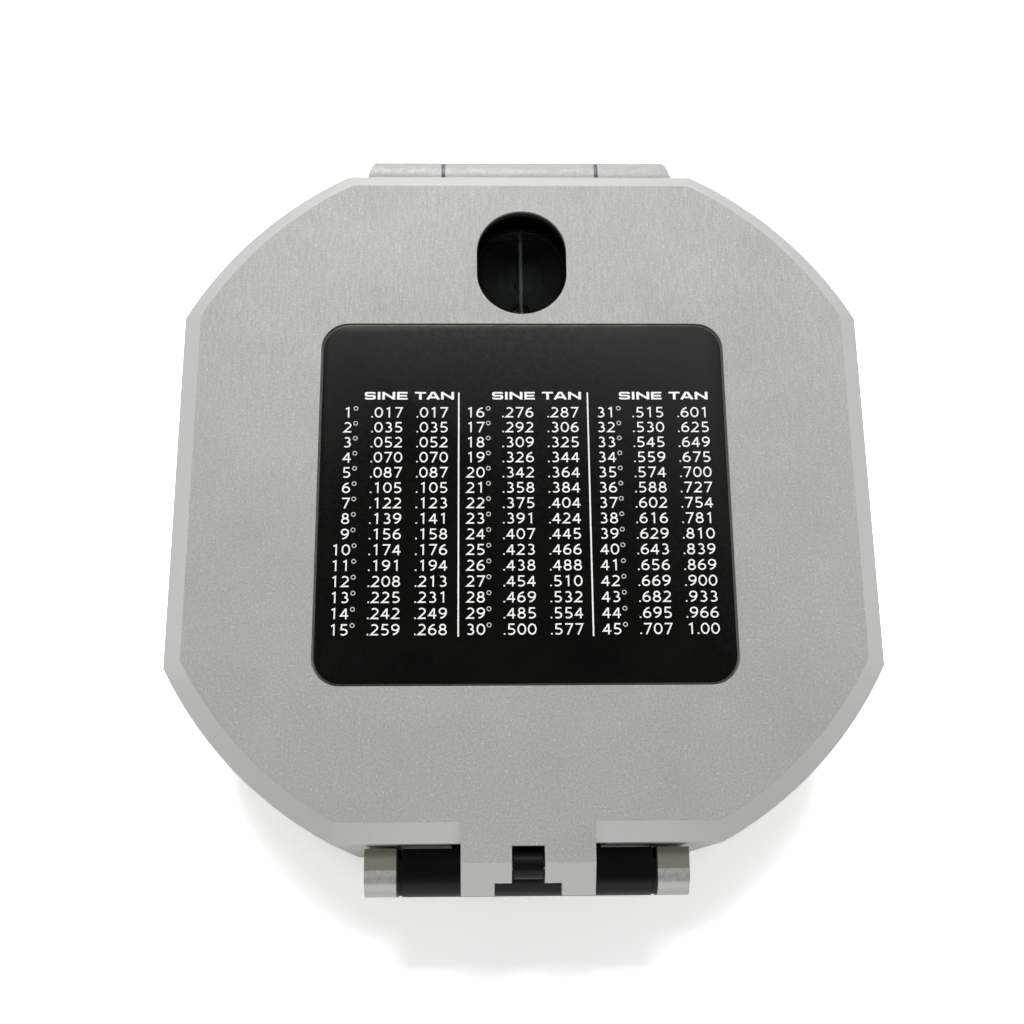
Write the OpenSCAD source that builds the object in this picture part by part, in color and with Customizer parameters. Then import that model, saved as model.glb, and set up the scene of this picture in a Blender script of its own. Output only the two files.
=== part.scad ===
// Pocket transit, lying flat on its base with the lid closed and both sights folded in.
// The origin is the middle of the base. +Z points up to the lid's face, +Y to the lid hinge.
// All sizes are in millimetres.

/* [Body] */
// Width of the case and of the lid across their flats
body_w = 71; // [60:0.5:86]
// How far the rounded corners stand out past the flats, measured from the middle
corner_reach = 4.6; // [3.8:0.1:6]
// Height of the case from its base to its rim
case_h = 24; // [24:0.5:30]
// Height of the lid from its seam to its face
lid_h = 8.8; // [8.6:0.1:11]
// Gap between the case's rim and the closed lid
seam_gap = 0.2; // [0.15:0.05:0.3]
// Wall of the case outside the dial glass, at the flats
rim_wall = 4.1; // [3.8:0.1:5]
// Chamfer round the lid's face, measured in plan
face_chamfer = 1.95; // [1:0.05:2.4]
// Chamfer round the lid's face, measured down
face_drop = 1.58; // [0.8:0.02:2]
// Chamfer round the base and the seam
edge_chamfer = 0.5; // [0.3:0.1:1]

/* [Lid] */
// Thickness of the lid's top over the mirror
skin_t = 2.4; // [2:0.1:2.8]
// Thickness of the mirror glass
mirror_t = 2; // [1.5:0.1:2.4]
// Band of the lid outside the mirror's ring, at the flats
lid_wall = 3.4; // [3:0.1:4.2]
// Width of the sighting window
window_w = 9.5; // [8:0.1:11]
// Length of the sighting window
window_l = 12; // [11:0.1:12.4]
// Distance from the window's middle to the lid's hinge flat
window_inset = 11.05; // [10.8:0.05:11.4]
// Thickness of the lid's skin at the window's rim
window_lip = 1; // [0.8:0.1:1.8]
// How far the window widens behind its rim
window_relief = 0.7; // [0.4:0.1:0.8]
// Width of the table plate
plate_w = 41.6; // [30:0.2:46]
// Length of the table plate
plate_l = 37.9; // [25:0.1:38.4]
// Shift of the table plate away from the hinge
plate_shift = 1.7; // [1.5:0.1:4]
// Corner radius of the table plate
plate_r = 2.8; // [1:0.1:4]
// Thickness of the table plate
plate_t = 0.5; // [0.4:0.1:0.8]
// Half width of the lid's tab
tab_half = 6.35; // [5.6:0.05:7.2]
// How far the tab reaches past the lid's flat
tab_reach = 4.8; // [4.4:0.1:5.4]
// Thickness of the tab
tab_t = 3; // [2.8:0.1:3.2]
// Length of the bevel on the tab's end, measured in plan
tab_bevel = 2.95; // [2:0.05:3.4]
// Drop of the bevel on the tab's end
tab_drop = 1.9; // [1:0.1:2.2]

/* [Lid hinge] */
// Distance of the lid hinge's axis outside the flat
hinge_out = 1; // [0.9:0.1:1.5]
// Height of the lid hinge's axis over the case's rim
hinge_rise = 3; // [3:0.1:3.4]
// Radius of the hinge's knuckle and ears
hinge_r = 2.9; // [2.5:0.1:2.95]
// Radius of the lid hinge's pin
hinge_pin_r = 1.1; // [0.8:0.05:1.4]
// Half width of the case's knuckle, with its two washers
knuckle_half = 8.6; // [7:0.1:10]
// Half length of the whole lid hinge
hinge_half = 15.7; // [14:0.1:18]
// Thickness of each friction washer in the hinges
washer_t = 0.35; // [0.3:0.05:0.5]

/* [Sights] */
// Distance of the large sight's axis outside the flat
sight_out = 2.5; // [2.4:0.1:2.8]
// Height of the large sight's axis over the case's rim
sight_rise = 2.4; // [2.3:0.1:2.6]
// Radius of the large sight's barrel
barrel_r = 2.3; // [2:0.1:2.3]
// Radius of the large sight's pin
sight_pin_r = 1; // [0.7:0.05:1.2]
// Half length of the barrel between the lugs, with its washers
barrel_half = 12.5; // [11:0.1:14]
// Width of each lug beside the barrel
lug_w = 3.2; // [2.5:0.1:4]
// Half width of the large sight's arm at its root
arm_root_half = 7.3; // [6.5:0.1:8]
// Half width of the large sight's arm at its end
arm_end_half = 4.8; // [4.4:0.1:5.2]
// Thickness of the large sight's arm
arm_t = 1.8; // [1.4:0.1:1.9]
// Width of the long slot in the large sight's arm
arm_slot_w = 3.2; // [2:0.1:4]
// Length of the folding tip past its own pin
tip_l = 13.6; // [11:0.1:14]
// Width of the notch in the tip
tip_slot_w = 4.9; // [3.5:0.1:5.2]
// Radius of the peep hole in the tip
tip_hole_r = 1; // [0.6:0.05:1.2]
// Width of the small sight's knuckle
peep_knuckle_w = 2.9; // [2.4:0.05:3]
// Width of the small sight's blade
peep_blade_w = 6; // [5:0.1:6.1]
// Length of the small sight's blade past its pin
peep_l = 6.4; // [5.5:0.1:6.5]

/* [Dial] */
// Thickness of the dial glass
glass_t = 1.6; // [1.2:0.1:2]
// Height of the bezel ring over the glass
bezel_t = 0.8; // [0.6:0.1:1]
// Width of the azimuth ring from its teeth to its inner edge
ring_band = 5.8; // [4.5:0.1:6.5]
// Thickness of the azimuth ring
ring_t = 2; // [1.6:0.1:2.4]
// Teeth on the azimuth ring
ring_teeth = 96; // [72:12:120]
// Teeth on the declination pinion
pinion_teeth = 12; // [9:1:14]
// Depth of the recess under the base for the clinometer lever
recess_d = 2.6; // [2.4:0.1:3]
// Radius of that recess
recess_r = 17; // [15:0.5:20]
// Thickness of the case's floor over the recess
web_t = 2.4; // [2:0.1:3]
// Radius of the clinometer shaft
shaft_r = 2; // [1.5:0.1:2.5]
// Length of the clinometer's level vial
vial_l = 24; // [18:0.5:28]
// Radius of the level vial
vial_r = 2.5; // [2:0.1:2.6]
// Distance of the level vial from the middle of the dial
vial_out = 9; // [8.8:0.1:10]
// Radius of the round level's cup
bull_r = 6; // [5:0.1:6.5]
// Distance of the round level from the middle of the dial
bull_out = 17; // [16.5:0.1:18]
// How far the needle is lifted off its pivot by the closed lid
needle_lift = 1; // [0.8:0.1:1.1]
// How far the closed lid presses the lift pin down
pin_press = 0.6; // [0.5:0.05:0.7]

/* [Fits] */
// Radial clearance of a shaft that turns in its bore
running = 0.05; // [0.03:0.01:0.08]
// Side clearance between turning faces
side_gap = 0.05; // [0.04:0.01:0.1]
// Clearance of a piece that is set into a recess
seat_gap = 0.1; // [0.05:0.01:0.2]
// Clearance between pieces that pass each other
pass_gap = 0.3; // [0.25:0.05:0.4]

/* [Hidden] */
$fn = 72;

silver = [0.77, 0.77, 0.75];
black = [0.09, 0.09, 0.1];
steel = [0.66, 0.67, 0.69];
brass = [0.78, 0.63, 0.33];
copper = [0.75, 0.43, 0.28];
clear_glass = [0.8, 0.88, 0.88, 0.5];
spirit = [0.75, 0.85, 0.25, 0.7];
card_white = [0.92, 0.92, 0.88];
// How far a cutting tool runs past the face that it cuts
over = 1;

// Plan
half = body_w / 2;
corner_r = half + corner_reach;
glass_r = half - rim_wall;
ring_seat_r = glass_r - 1;
well_r = ring_seat_r - 1.2;
ring_out_r = ring_seat_r - seat_gap;
ring_in_r = well_r - ring_band;
tooth_out_r = well_r - 0.4;
tooth_in_r = well_r - 2.7;
tooth_mid_r = (tooth_in_r + tooth_out_r) / 2;

// Heights in the case, counted down from its rim
glass_top = case_h - bezel_t;
glass_z = glass_top - glass_t;
gasket_d = 0.6;
glass_seat_z = glass_z - gasket_d;
ring_top = glass_seat_z - 1.4;
ring_z = ring_top - ring_t;
lip_t = 1;
ring_seat_z = ring_top - lip_t;
tooth_h = 1;
lever_t = 0.5;
lever_z = ring_z - tooth_h - 1.6;
lever_top = lever_z + lever_t;

// Heights in the case, counted up from its base
floor_z = recess_d + web_t;
dial_t = 0.8;
arm_plate_z = floor_z + dial_t + 0.2;
arm_plate_t = 1.2;
arm_plate_top = arm_plate_z + arm_plate_t;
vial_z = arm_plate_top + 0.7 + vial_r;

// Needle lift
lever_pin_r = corner_r - 5.1;
fulcrum_r = well_r - 5.2;
ring_reach = 3.4;
lever_drop = pin_press * (fulcrum_r - ring_reach) / (lever_pin_r - fulcrum_r);
disc_t = 1;
disc_z = lever_z - lever_drop - 0.75 - disc_t;
lift_angle = -45;
pinion_angle = 135;

// Needle, in its lifted place
hub_z = lever_top + side_gap;
flange_t = 0.55;
magnet_t = 1.5;
magnet_z = hub_z + flange_t;
blade_t = 0.5;
blade_z = magnet_z + magnet_t + 0.6;
hub_top = blade_z + blade_t + 0.9;
jewel_apex_z = hub_top - 0.8;
post_tip_z = jewel_apex_z - needle_lift - 0.03;
needle_r = ring_in_r - 0.8;

// Lid
lid_z = case_h + seam_gap;
lid_top = lid_z + lid_h;
skin_z = lid_top - skin_t;
mirror_z = skin_z - mirror_t;
mirror_ring_t = 0.6;
cavity_r = half - lid_wall;
mirror_r = cavity_r - 0.9;
window_y = half - window_inset;
tab_z = lid_top - tab_t;
notch_half = arm_root_half + pass_gap;
peep_slot_w = peep_knuckle_w + 0.2;
peep_notch_w = peep_blade_w + 0.35;

// Hinges
hinge_y = half + hinge_out;
hinge_z = case_h + hinge_rise;
sight_y = -half - sight_out;
sight_z = case_h + sight_rise;
lug_half = barrel_half + lug_w;
arm_z = sight_z - 1.4;
arm_top = arm_z + arm_t;
tip_end_y = window_y + window_l / 2 - 0.6;
tip_y = tip_end_y - tip_l;
tip_z = arm_z + arm_t / 2;
tip_knuckle_r = 1.1;
tip_pin_r = 0.5;
tip_t = 1.2;
tip_knuckle_half = 2.5;
peep_y = -half - 2;
peep_z = tab_z + 1.3;
peep_pin_r = 0.5;
peep_r = 1.3;
peep_t = 0.85;

peep_tip_y = peep_y + peep_l + 2;
// Where the long slot in the large sight's arm starts and ends
arm_slot_y0 = sight_y + 8;
arm_slot_y1 = tip_y - 4;
// How far a hinge pin's ends stay inside the lugs or ears
pin_end = 0.2;

// Declination drive
pinion_r = tooth_mid_r * pinion_teeth / ring_teeth;
pinion_z = ring_z - tooth_h / 2 - pinion_r;
bush_r = 2.6;
bush_start = well_r - 0.3;
stem_r = 1.5;
screw_head_r = 3.2;
screw_head_t = 2.2;
head_gap = 0.2;
tooth_pitch = 2 * PI * tooth_mid_r / ring_teeth;
tooth_half_root = tooth_pitch * 0.3;
tooth_half_tip = tooth_pitch * 0.105;
tooth_root = 0.3;
index_r = 0.35;
index_z = ring_top + 0.8;
index_seat = 1.8;
wire_r = 0.35;
wire_z = ring_top + side_gap + wire_r;

// Lift pin, lever and bracket
lift_pin_r = 1.2;
pin_seat = 0.16;
fulcrum_z = lever_z - 0.5;
fulcrum_pin_r = 0.4;
bracket_half = 3.2;
bracket_ear = 1.5;
bracket_web = 1.2;
bracket_z = fulcrum_z - 3;

// Dial plate and round level
screw_angles = [60, 180, 300];
screw_out = well_r - 2;
screw_depth = 1.4;
dial_screw_r = 0.8;
screw_cone = 0.7;
bull_floor_z = floor_z + dial_t;
bull_h = 5.6;
bull_wall = 1;
lens_t = 0.8;
bubble_r = 3;

// Clinometer
lever_hub_z = 0.6;
lever_hub_t = 1.4;
lever_len = 14;
clino_screw_r = 0.9;
clino_screw_l = 2.9;
column_r = 2.4;
vernier_r = well_r - 2.7;
vernier_band = 5;
vernier_span = 22;
holder_side = 0.8;
band_w = 1.6;
vial_glass_t = 0.4;
plug_l = 1.2;

// Pivot and needle hub
post_r = 0.9;
post_foot_r = 2;
post_foot_t = 0.2;
post_base_z = disc_z + disc_t;
hub_bore_r = 1.35;
hub_r = 2.2;
flange_r = 4;
jewel_r = hub_bore_r - 0.03;
jewel_top = hub_top - 0.4;
// Half widths of the needle's south arm at its root and near its point
arm_wide = 2.6;
arm_thin = 0.7;
arm_root_y = -3.5;
arm_thin_y = 2 - needle_r;

// A bar along X with the given outline, whose points are [y, z]
module x_prism(x0, x1, points) {
    translate([x0, 0, 0])
        rotate([90, 0, 90])
            linear_extrude(x1 - x0)
                polygon(points);
}

// A bar along Y with the given outline, whose points are [x, z]
module y_prism(y0, y1, points) {
    translate([0, y1, 0])
        rotate([90, 0, 0])
            linear_extrude(y1 - y0)
                polygon(points);
}

// A round rod along X
module x_rod(x0, x1, y, z, r) {
    translate([x0, y, z])
        rotate([0, 90, 0])
            cylinder(h = x1 - x0, r = r);
}

// A round rod that points out from the middle at the given angle
module radial_rod(angle, r0, r1, z, r) {
    rotate([0, 0, angle])
        x_rod(r0, r1, 0, z, r);
}

// A flat ring
module flat_ring(r_in, r_out, z0, z1) {
    translate([0, 0, z0])
        difference() {
            cylinder(h = z1 - z0, r = r_out);
            translate([0, 0, -over])
                cylinder(h = z1 - z0 + 2 * over, r = r_in);
        }
}

// A washer on an axis along X
module x_washer(x0, x1, y, z, r_in, r_out) {
    difference() {
        x_rod(x0, x1, y, z, r_out);
        x_rod(x0 - over, x1 + over, y, z, r_in);
    }
}

// A plate with rounded corners, centred in plan
module rounded_plate(w, l, r, z0, z1) {
    translate([0, 0, z0]) {
        translate([-w / 2 + r, -l / 2, 0])
            cube([w - 2 * r, l, z1 - z0]);
        translate([-w / 2, -l / 2 + r, 0])
            cube([w, l - 2 * r, z1 - z0]);
        for (sx = [-1, 1], sy = [-1, 1])
            translate([sx * (w / 2 - r), sy * (l / 2 - r), 0])
                cylinder(h = z1 - z0, r = r);
    }
}

// A slot with round ends along Y, centred in plan
module y_slot(w, l, z0, z1) {
    translate([-w / 2, -(l - w) / 2, z0])
        cube([w, l - w, z1 - z0]);
    for (s = [-1, 1])
        translate([0, s * (l - w) / 2, z0])
            cylinder(h = z1 - z0, r = w / 2);
}

// The square with round corners that the case and the lid share, chamfered below and above
module transit_block(z0, z1, low, high) {
    side = [
        [low[0] - half, z0], [half - low[0], z0], [half, z0 + low[1]], [half, z1 - high[1]],
        [half - high[0], z1], [high[0] - half, z1], [-half, z1 - high[1]], [-half, z0 + low[1]]
    ];
    intersection() {
        x_prism(-corner_r, corner_r, side);
        y_prism(-corner_r, corner_r, side);
        rotate_extrude($fn = 180)
            polygon([
                [0, z0], [corner_r - low[0], z0], [corner_r, z0 + low[1]],
                [corner_r, z1 - high[1]], [corner_r - high[0], z1], [0, z1]
            ]);
    }
}

// Two lugs that hold the large sight's pin, flat on top and round outside
module sight_lugs() {
    slope = barrel_r * cos(45);
    foot_z = sight_z - sight_out - 2 * slope;
    for (side = [-1, 1]) {
        x0 = side > 0 ? barrel_half : -lug_half;
        x_rod(x0, x0 + lug_w, sight_y, sight_z, barrel_r);
        x_prism(x0, x0 + lug_w, [
            [sight_y - slope, sight_z - slope], [-half, foot_z], [over - half, foot_z],
            [over - half, case_h - edge_chamfer], [-half - pass_gap, case_h - edge_chamfer],
            [-half - pass_gap, sight_z + barrel_r], [sight_y, sight_z + barrel_r]
        ]);
    }
}

// The case's knuckle of the lid hinge
module lid_knuckle() {
    x1 = knuckle_half - washer_t;
    foot_angle = 70;
    foot_z = case_h - hinge_r + 0.3;
    x_rod(-x1, x1, hinge_y, hinge_z, hinge_r);
    x_prism(-x1, x1, [
        [hinge_y + hinge_r * cos(foot_angle), hinge_z - hinge_r * sin(foot_angle)],
        [hinge_y - hinge_pin_r / 2, hinge_z],
        [half + pass_gap, hinge_z],
        [half + pass_gap, case_h - edge_chamfer],
        [half - over, case_h - edge_chamfer],
        [half - over, foot_z],
        [half, foot_z]
    ]);
    x_prism(-x1, x1, [
        [half + pass_gap, hinge_z], [hinge_y, hinge_z], [hinge_y, hinge_z + hinge_r],
        [half + pass_gap, hinge_z + hinge_r]
    ]);
}

// The slot in each side that takes an ear of a tripod head
module tripod_slots() {
    slot_l = 12;
    slot_h = 3.2;
    slot_d = 3.2;
    slot_rise = 4;
    slot_z = floor_z + slot_rise;
    for (side = [-1, 1]) {
        x0 = side > 0 ? half - slot_d : -half - over;
        translate([x0, (slot_h - slot_l) / 2, slot_z - slot_h / 2])
            cube([slot_d + over, slot_l - slot_h, slot_h]);
        for (end = [-1, 1])
            x_rod(x0, x0 + slot_d + over, end * (slot_l - slot_h) / 2, slot_z, slot_h / 2);
    }
}

// The channel for the lift lever and the bore for the lift pin
module lift_channel() {
    channel_w = 3.6;
    channel_h = 4;
    channel_end = 2.4;
    rotate([0, 0, lift_angle])
        translate([well_r - over, -channel_w / 2, lever_z - pin_press - 1])
            cube([lever_pin_r - well_r + over + channel_end, channel_w, channel_h]);
    rotate([0, 0, lift_angle])
        translate([lever_pin_r, 0, lever_top])
            cylinder(h = case_h, r = lift_pin_r + running);
}

module body_case() {
    wire_fit = 0.02;
    color(silver)
        difference() {
            union() {
                transit_block(0, case_h, [edge_chamfer, edge_chamfer], [edge_chamfer, edge_chamfer]);
                sight_lugs();
                lid_knuckle();
            }
            translate([0, 0, floor_z])
                cylinder(h = case_h, r = well_r);
            translate([0, 0, ring_seat_z])
                cylinder(h = case_h, r = ring_seat_r);
            translate([0, 0, glass_seat_z])
                cylinder(h = case_h, r = glass_r);
            translate([0, 0, -over])
                cylinder(h = over + recess_d, r = recess_r);
            cylinder(h = floor_z + over, r = shaft_r + running);
            rotate_extrude()
                translate([ring_seat_r, wire_z])
                    circle(r = wire_r + wire_fit);
            tripod_slots();
            lift_channel();
            radial_rod(pinion_angle, well_r - over, corner_r - screw_head_t, pinion_z, bush_r);
            radial_rod(
                pinion_angle, corner_r - screw_head_t, corner_r + over, pinion_z, screw_head_r + head_gap
            );
            radial_rod(90, ring_seat_r - over, ring_seat_r + index_seat, index_z, index_r);
            x_rod(-lug_half - over, lug_half + over, sight_y, sight_z, sight_pin_r);
            x_rod(-knuckle_half, knuckle_half, hinge_y, hinge_z, hinge_pin_r);
            for (angle = screw_angles)
                rotate([0, 0, angle])
                    translate([screw_out, 0, floor_z - screw_depth])
                        cylinder(h = screw_depth + over, r = dial_screw_r);
        }
}

module lid_hinge_pin() {
    color(steel)
        x_rod(pin_end - hinge_half, hinge_half - pin_end, hinge_y, hinge_z, hinge_pin_r);
}

module lid_hinge_washers() {
    color(steel)
        for (side = [-1, 1]) {
            x0 = side > 0 ? knuckle_half - washer_t : -knuckle_half;
            x_washer(x0, x0 + washer_t, hinge_y, hinge_z, hinge_pin_r, hinge_r - 0.2);
        }
}

module sight_pin() {
    color(steel)
        x_rod(pin_end - lug_half, lug_half - pin_end, sight_y, sight_z, sight_pin_r);
}

module sight_washers() {
    color(black)
        for (side = [-1, 1]) {
            x0 = side > 0 ? barrel_half - washer_t : -barrel_half;
            x_washer(x0, x0 + washer_t, sight_y, sight_z, sight_pin_r, barrel_r - 0.1);
        }
}

module dial_glass() {
    color(clear_glass)
        translate([0, 0, glass_z])
            cylinder(h = glass_t, r = glass_r - seat_gap);
}

module glass_gasket() {
    color(black)
        rotate_extrude()
            translate([ring_seat_r + gasket_d / 2 + 0.1, glass_seat_z + gasket_d / 2])
                circle(r = gasket_d / 2, $fn = 24);
}

module bezel_ring() {
    band = 2;
    bevel = 0.6;
    lip = 0.2;
    color(black)
        rotate_extrude($fn = 144)
            polygon([
                [glass_r - band, glass_top], [glass_r, glass_top], [glass_r, case_h],
                [glass_r - band + bevel, case_h], [glass_r - band, glass_top + lip]
            ]);
}

// A spring wire with its gap over the index pin
module ring_snap_wire() {
    gap = 16;
    color(steel)
        rotate([0, 0, 90 + gap / 2])
            rotate_extrude(angle = 360 - gap, $fn = 144)
                translate([ring_seat_r, wire_z])
                    circle(r = wire_r, $fn = 24);
}

module index_pin() {
    color(steel)
        radial_rod(90, ring_in_r + ring_band / 2, ring_seat_r + index_seat, index_z, index_r);
}

module dial_plate() {
    color(card_white)
        difference() {
            translate([0, 0, floor_z])
                cylinder(h = dial_t, r = well_r - seat_gap);
            translate([0, 0, floor_z - over])
                cylinder(h = dial_t + 2 * over, r = shaft_r + pass_gap);
            for (angle = screw_angles)
                rotate([0, 0, angle])
                    translate([screw_out, 0, floor_z])
                        cylinder(h = dial_t, r1 = dial_screw_r, r2 = dial_screw_r + screw_cone);
        }
}

module dial_plate_screws() {
    color(steel)
        for (angle = screw_angles)
            rotate([0, 0, angle])
                translate([screw_out, 0, floor_z - screw_depth]) {
                    cylinder(h = screw_depth + dial_t, r = dial_screw_r);
                    translate([0, 0, screw_depth])
                        cylinder(h = dial_t, r1 = dial_screw_r, r2 = dial_screw_r + screw_cone);
                }
}

module bullseye_cup() {
    color(brass)
        translate([0, bull_out, bull_floor_z])
            difference() {
                cylinder(h = bull_h, r = bull_r);
                translate([0, 0, bull_wall])
                    cylinder(h = bull_h, r = bull_r - bull_wall);
            }
}

module bullseye_liquid() {
    liquid_h = bull_h - bull_wall - lens_t;
    bubble_depth = 1;
    color(spirit)
        translate([0, bull_out, bull_floor_z + bull_wall])
            difference() {
                cylinder(h = liquid_h, r = bull_r - bull_wall);
                translate([0, 0, liquid_h + bubble_r - bubble_depth])
                    sphere(r = bubble_r);
            }
}

module bullseye_lens() {
    dome_r = 18;
    dome_steps = 8;
    dome_rise = 2 * lens_t;
    lens_r = bull_r - bull_wall;
    lens_z = bull_floor_z + bull_h - lens_t;
    span = asin(lens_r / dome_r);
    dome = [
        for (i = [0 : dome_steps])
            let (a = span * (1 - i / dome_steps))
            [dome_r * sin(a), lens_z + dome_rise - dome_r * (1 - cos(a))]
    ];
    color(clear_glass)
        translate([0, bull_out, 0])
            rotate_extrude()
                polygon(concat([[0, lens_z], [lens_r, lens_z]], dome));
}

module pinion_bushing() {
    color(brass)
        difference() {
            radial_rod(pinion_angle, bush_start, corner_r - screw_head_t, pinion_z, bush_r);
            radial_rod(pinion_angle, bush_start - over, corner_r, pinion_z, stem_r + running);
        }
}

module lever_bracket() {
    bracket_top = fulcrum_z + bracket_web;
    color(steel)
        rotate([0, 0, lift_angle])
            difference() {
                intersection() {
                    translate([fulcrum_r - 1.4, -bracket_half, bracket_z])
                        cube([well_r, 2 * bracket_half, bracket_top - bracket_z]);
                    cylinder(h = case_h, r = well_r);
                }
                translate([0, bracket_ear - bracket_half, bracket_z + bracket_web])
                    cube([case_h + well_r, 2 * (bracket_half - bracket_ear), case_h]);
                translate([fulcrum_r, bracket_half + over, fulcrum_z])
                    rotate([90, 0, 0])
                        cylinder(h = 2 * (bracket_half + over), r = fulcrum_pin_r);
            }
}

module lever_fulcrum_pin() {
    color(steel)
        rotate([0, 0, lift_angle])
            translate([fulcrum_r, bracket_half, fulcrum_z])
                rotate([90, 0, 0])
                    cylinder(h = 2 * bracket_half, r = fulcrum_pin_r);
}

module clinometer_shaft() {
    shaft_z = lever_hub_z + 0.5;
    shoulder_r = column_r + 1;
    shoulder_z = arm_plate_z - 0.15;
    color(brass)
        difference() {
            rotate_extrude()
                polygon([
                    [0, shaft_z], [shaft_r, shaft_z], [shaft_r, shoulder_z],
                    [shoulder_r, shoulder_z], [shoulder_r, arm_plate_z],
                    [column_r, arm_plate_z], [column_r, disc_z], [0, disc_z]
                ]);
            translate([0, 0, lever_hub_z])
                cylinder(h = clino_screw_l + 0.1, r = clino_screw_r);
        }
}

module vernier_lever() {
    disc_r = 3.6;
    root = 2.4;
    end = 1.5;
    peg_r = 1.6;
    peg_z = 0.4;
    color(silver)
        difference() {
            union() {
                translate([0, 0, lever_hub_z])
                    cylinder(h = lever_hub_t, r = disc_r);
                translate([0, 0, lever_hub_z])
                    linear_extrude(lever_hub_t)
                        polygon([[-root, 0], [root, 0], [end, -lever_len], [-end, -lever_len]]);
                translate([0, -lever_len, peg_z])
                    cylinder(h = recess_d - pass_gap - peg_z, r = peg_r);
            }
            cylinder(h = recess_d + over, r = shaft_r);
        }
}

module lever_screw() {
    head_z = 0.15;
    head_r = 2.7;
    slot_w = 0.6;
    slot_d = 0.25;
    color(steel)
        difference() {
            union() {
                translate([0, 0, head_z])
                    cylinder(h = lever_hub_z - head_z, r = head_r);
                translate([0, 0, lever_hub_z])
                    cylinder(h = clino_screw_l, r = clino_screw_r);
            }
            translate([-head_r - over, -slot_w / 2, head_z - over])
                cube([2 * (head_r + over), slot_w, over + slot_d]);
        }
}

module clinometer_spring_washer() {
    color(steel)
        flat_ring(shaft_r + running, shaft_r + 1.5, lever_hub_z + lever_hub_t, recess_d - side_gap);
}

module vernier_arm() {
    disc_r = 5;
    strut_half = 3.4;
    wedge = 1.2 * vernier_r;
    wedge_half = wedge * tan(vernier_span);
    color(card_white)
        translate([0, 0, arm_plate_z])
            difference() {
                union() {
                    cylinder(h = arm_plate_t, r = disc_r);
                    translate([-strut_half, -vernier_r + vernier_band / 2, 0])
                        cube([2 * strut_half, vernier_r - vernier_band / 2, arm_plate_t]);
                    translate([-vial_l / 4, -vial_out - vial_r, 0])
                        cube([vial_l / 2, 2 * vial_r, arm_plate_t]);
                    intersection() {
                        flat_ring(vernier_r - vernier_band, vernier_r, 0, arm_plate_t);
                        linear_extrude(arm_plate_t)
                            polygon([[0, 0], [-wedge_half, -wedge], [wedge_half, -wedge]]);
                    }
                }
                translate([0, 0, -over])
                    cylinder(h = arm_plate_t + 2 * over, r = column_r);
            }
}

module vial_holder() {
    end_wall = 0.6;
    band_t = 0.5;
    x1 = vial_l / 2 + end_wall;
    band_x = vial_l / 2 - 3;
    side = vial_r + holder_side;
    color(brass)
        difference() {
            union() {
                translate([-x1, -vial_out - side, arm_plate_top])
                    cube([2 * x1, 2 * side, vial_z - arm_plate_top]);
                for (x = [-band_x, band_x])
                    x_rod(x - band_w / 2, x + band_w / 2, -vial_out, vial_z, vial_r + band_t);
            }
            x_rod(-vial_l / 2, vial_l / 2, -vial_out, vial_z, vial_r);
        }
}

module vial_glass() {
    color(clear_glass)
        x_washer(-vial_l / 2, vial_l / 2, -vial_out, vial_z, vial_r - vial_glass_t, vial_r);
}

module vial_plugs() {
    color(card_white)
        for (s = [-1, 1]) {
            x0 = s > 0 ? vial_l / 2 - plug_l : -vial_l / 2;
            x_rod(x0, x0 + plug_l, -vial_out, vial_z, vial_r - vial_glass_t);
        }
}

module vial_liquid() {
    x1 = vial_l / 2 - plug_l;
    bore_r = vial_r - vial_glass_t;
    bubble_curve = 5;
    bubble_depth = 0.8;
    color(spirit)
        difference() {
            x_rod(-x1, x1, -vial_out, vial_z, bore_r);
            translate([0, -vial_out, vial_z + bore_r + bubble_curve - bubble_depth])
                sphere(r = bubble_curve);
        }
}

module damping_disc() {
    color(copper)
        translate([0, 0, disc_z])
            cylinder(h = disc_t, r = vial_out - vial_r - 0.7);
}

module pivot_post() {
    tip_h = 1.6;
    point_r = 0.05;
    color(steel)
        rotate_extrude()
            polygon([
                [0, post_base_z], [post_foot_r, post_base_z], [post_foot_r, post_base_z + post_foot_t],
                [post_r, post_base_z + post_foot_t], [post_r, post_tip_z - tip_h],
                [point_r, post_tip_z], [0, post_tip_z]
            ]);
}

module needle_blade() {
    head_half = 1.6;
    head_y = needle_r - 6;
    neck_half = 0.9;
    neck_y = head_y - 0.6;
    color(steel)
        translate([0, 0, blade_z])
            difference() {
                linear_extrude(blade_t)
                    polygon([
                        [0, needle_r], [head_half, head_y], [neck_half, neck_y], [arm_wide, -arm_root_y],
                        [arm_wide, arm_root_y], [arm_thin, arm_thin_y], [0, -needle_r],
                        [-arm_thin, arm_thin_y], [-arm_wide, arm_root_y],
                        [-arm_wide, -arm_root_y], [-neck_half, neck_y], [-head_half, head_y]
                    ]);
                translate([0, 0, -over])
                    cylinder(h = blade_t + 2 * over, r = hub_r);
            }
}

module needle_hub() {
    magnet_top = magnet_z + magnet_t;
    blade_top = blade_z + blade_t;
    spacer_r = hub_r + 1;
    rivet_r = hub_r + 0.7;
    cap_r = hub_r + 0.3;
    color(brass)
        rotate_extrude()
            polygon([
                [hub_bore_r, hub_z], [flange_r, hub_z], [flange_r, magnet_z], [hub_r, magnet_z],
                [hub_r, magnet_top], [spacer_r, magnet_top], [spacer_r, blade_z],
                [hub_r, blade_z], [hub_r, blade_top], [rivet_r, blade_top],
                [cap_r, hub_top], [0, hub_top], [0, jewel_top], [hub_bore_r, jewel_top]
            ]);
}

module needle_magnet() {
    color(steel)
        flat_ring(hub_r, flange_r + 2, magnet_z, magnet_z + magnet_t);
}

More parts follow.
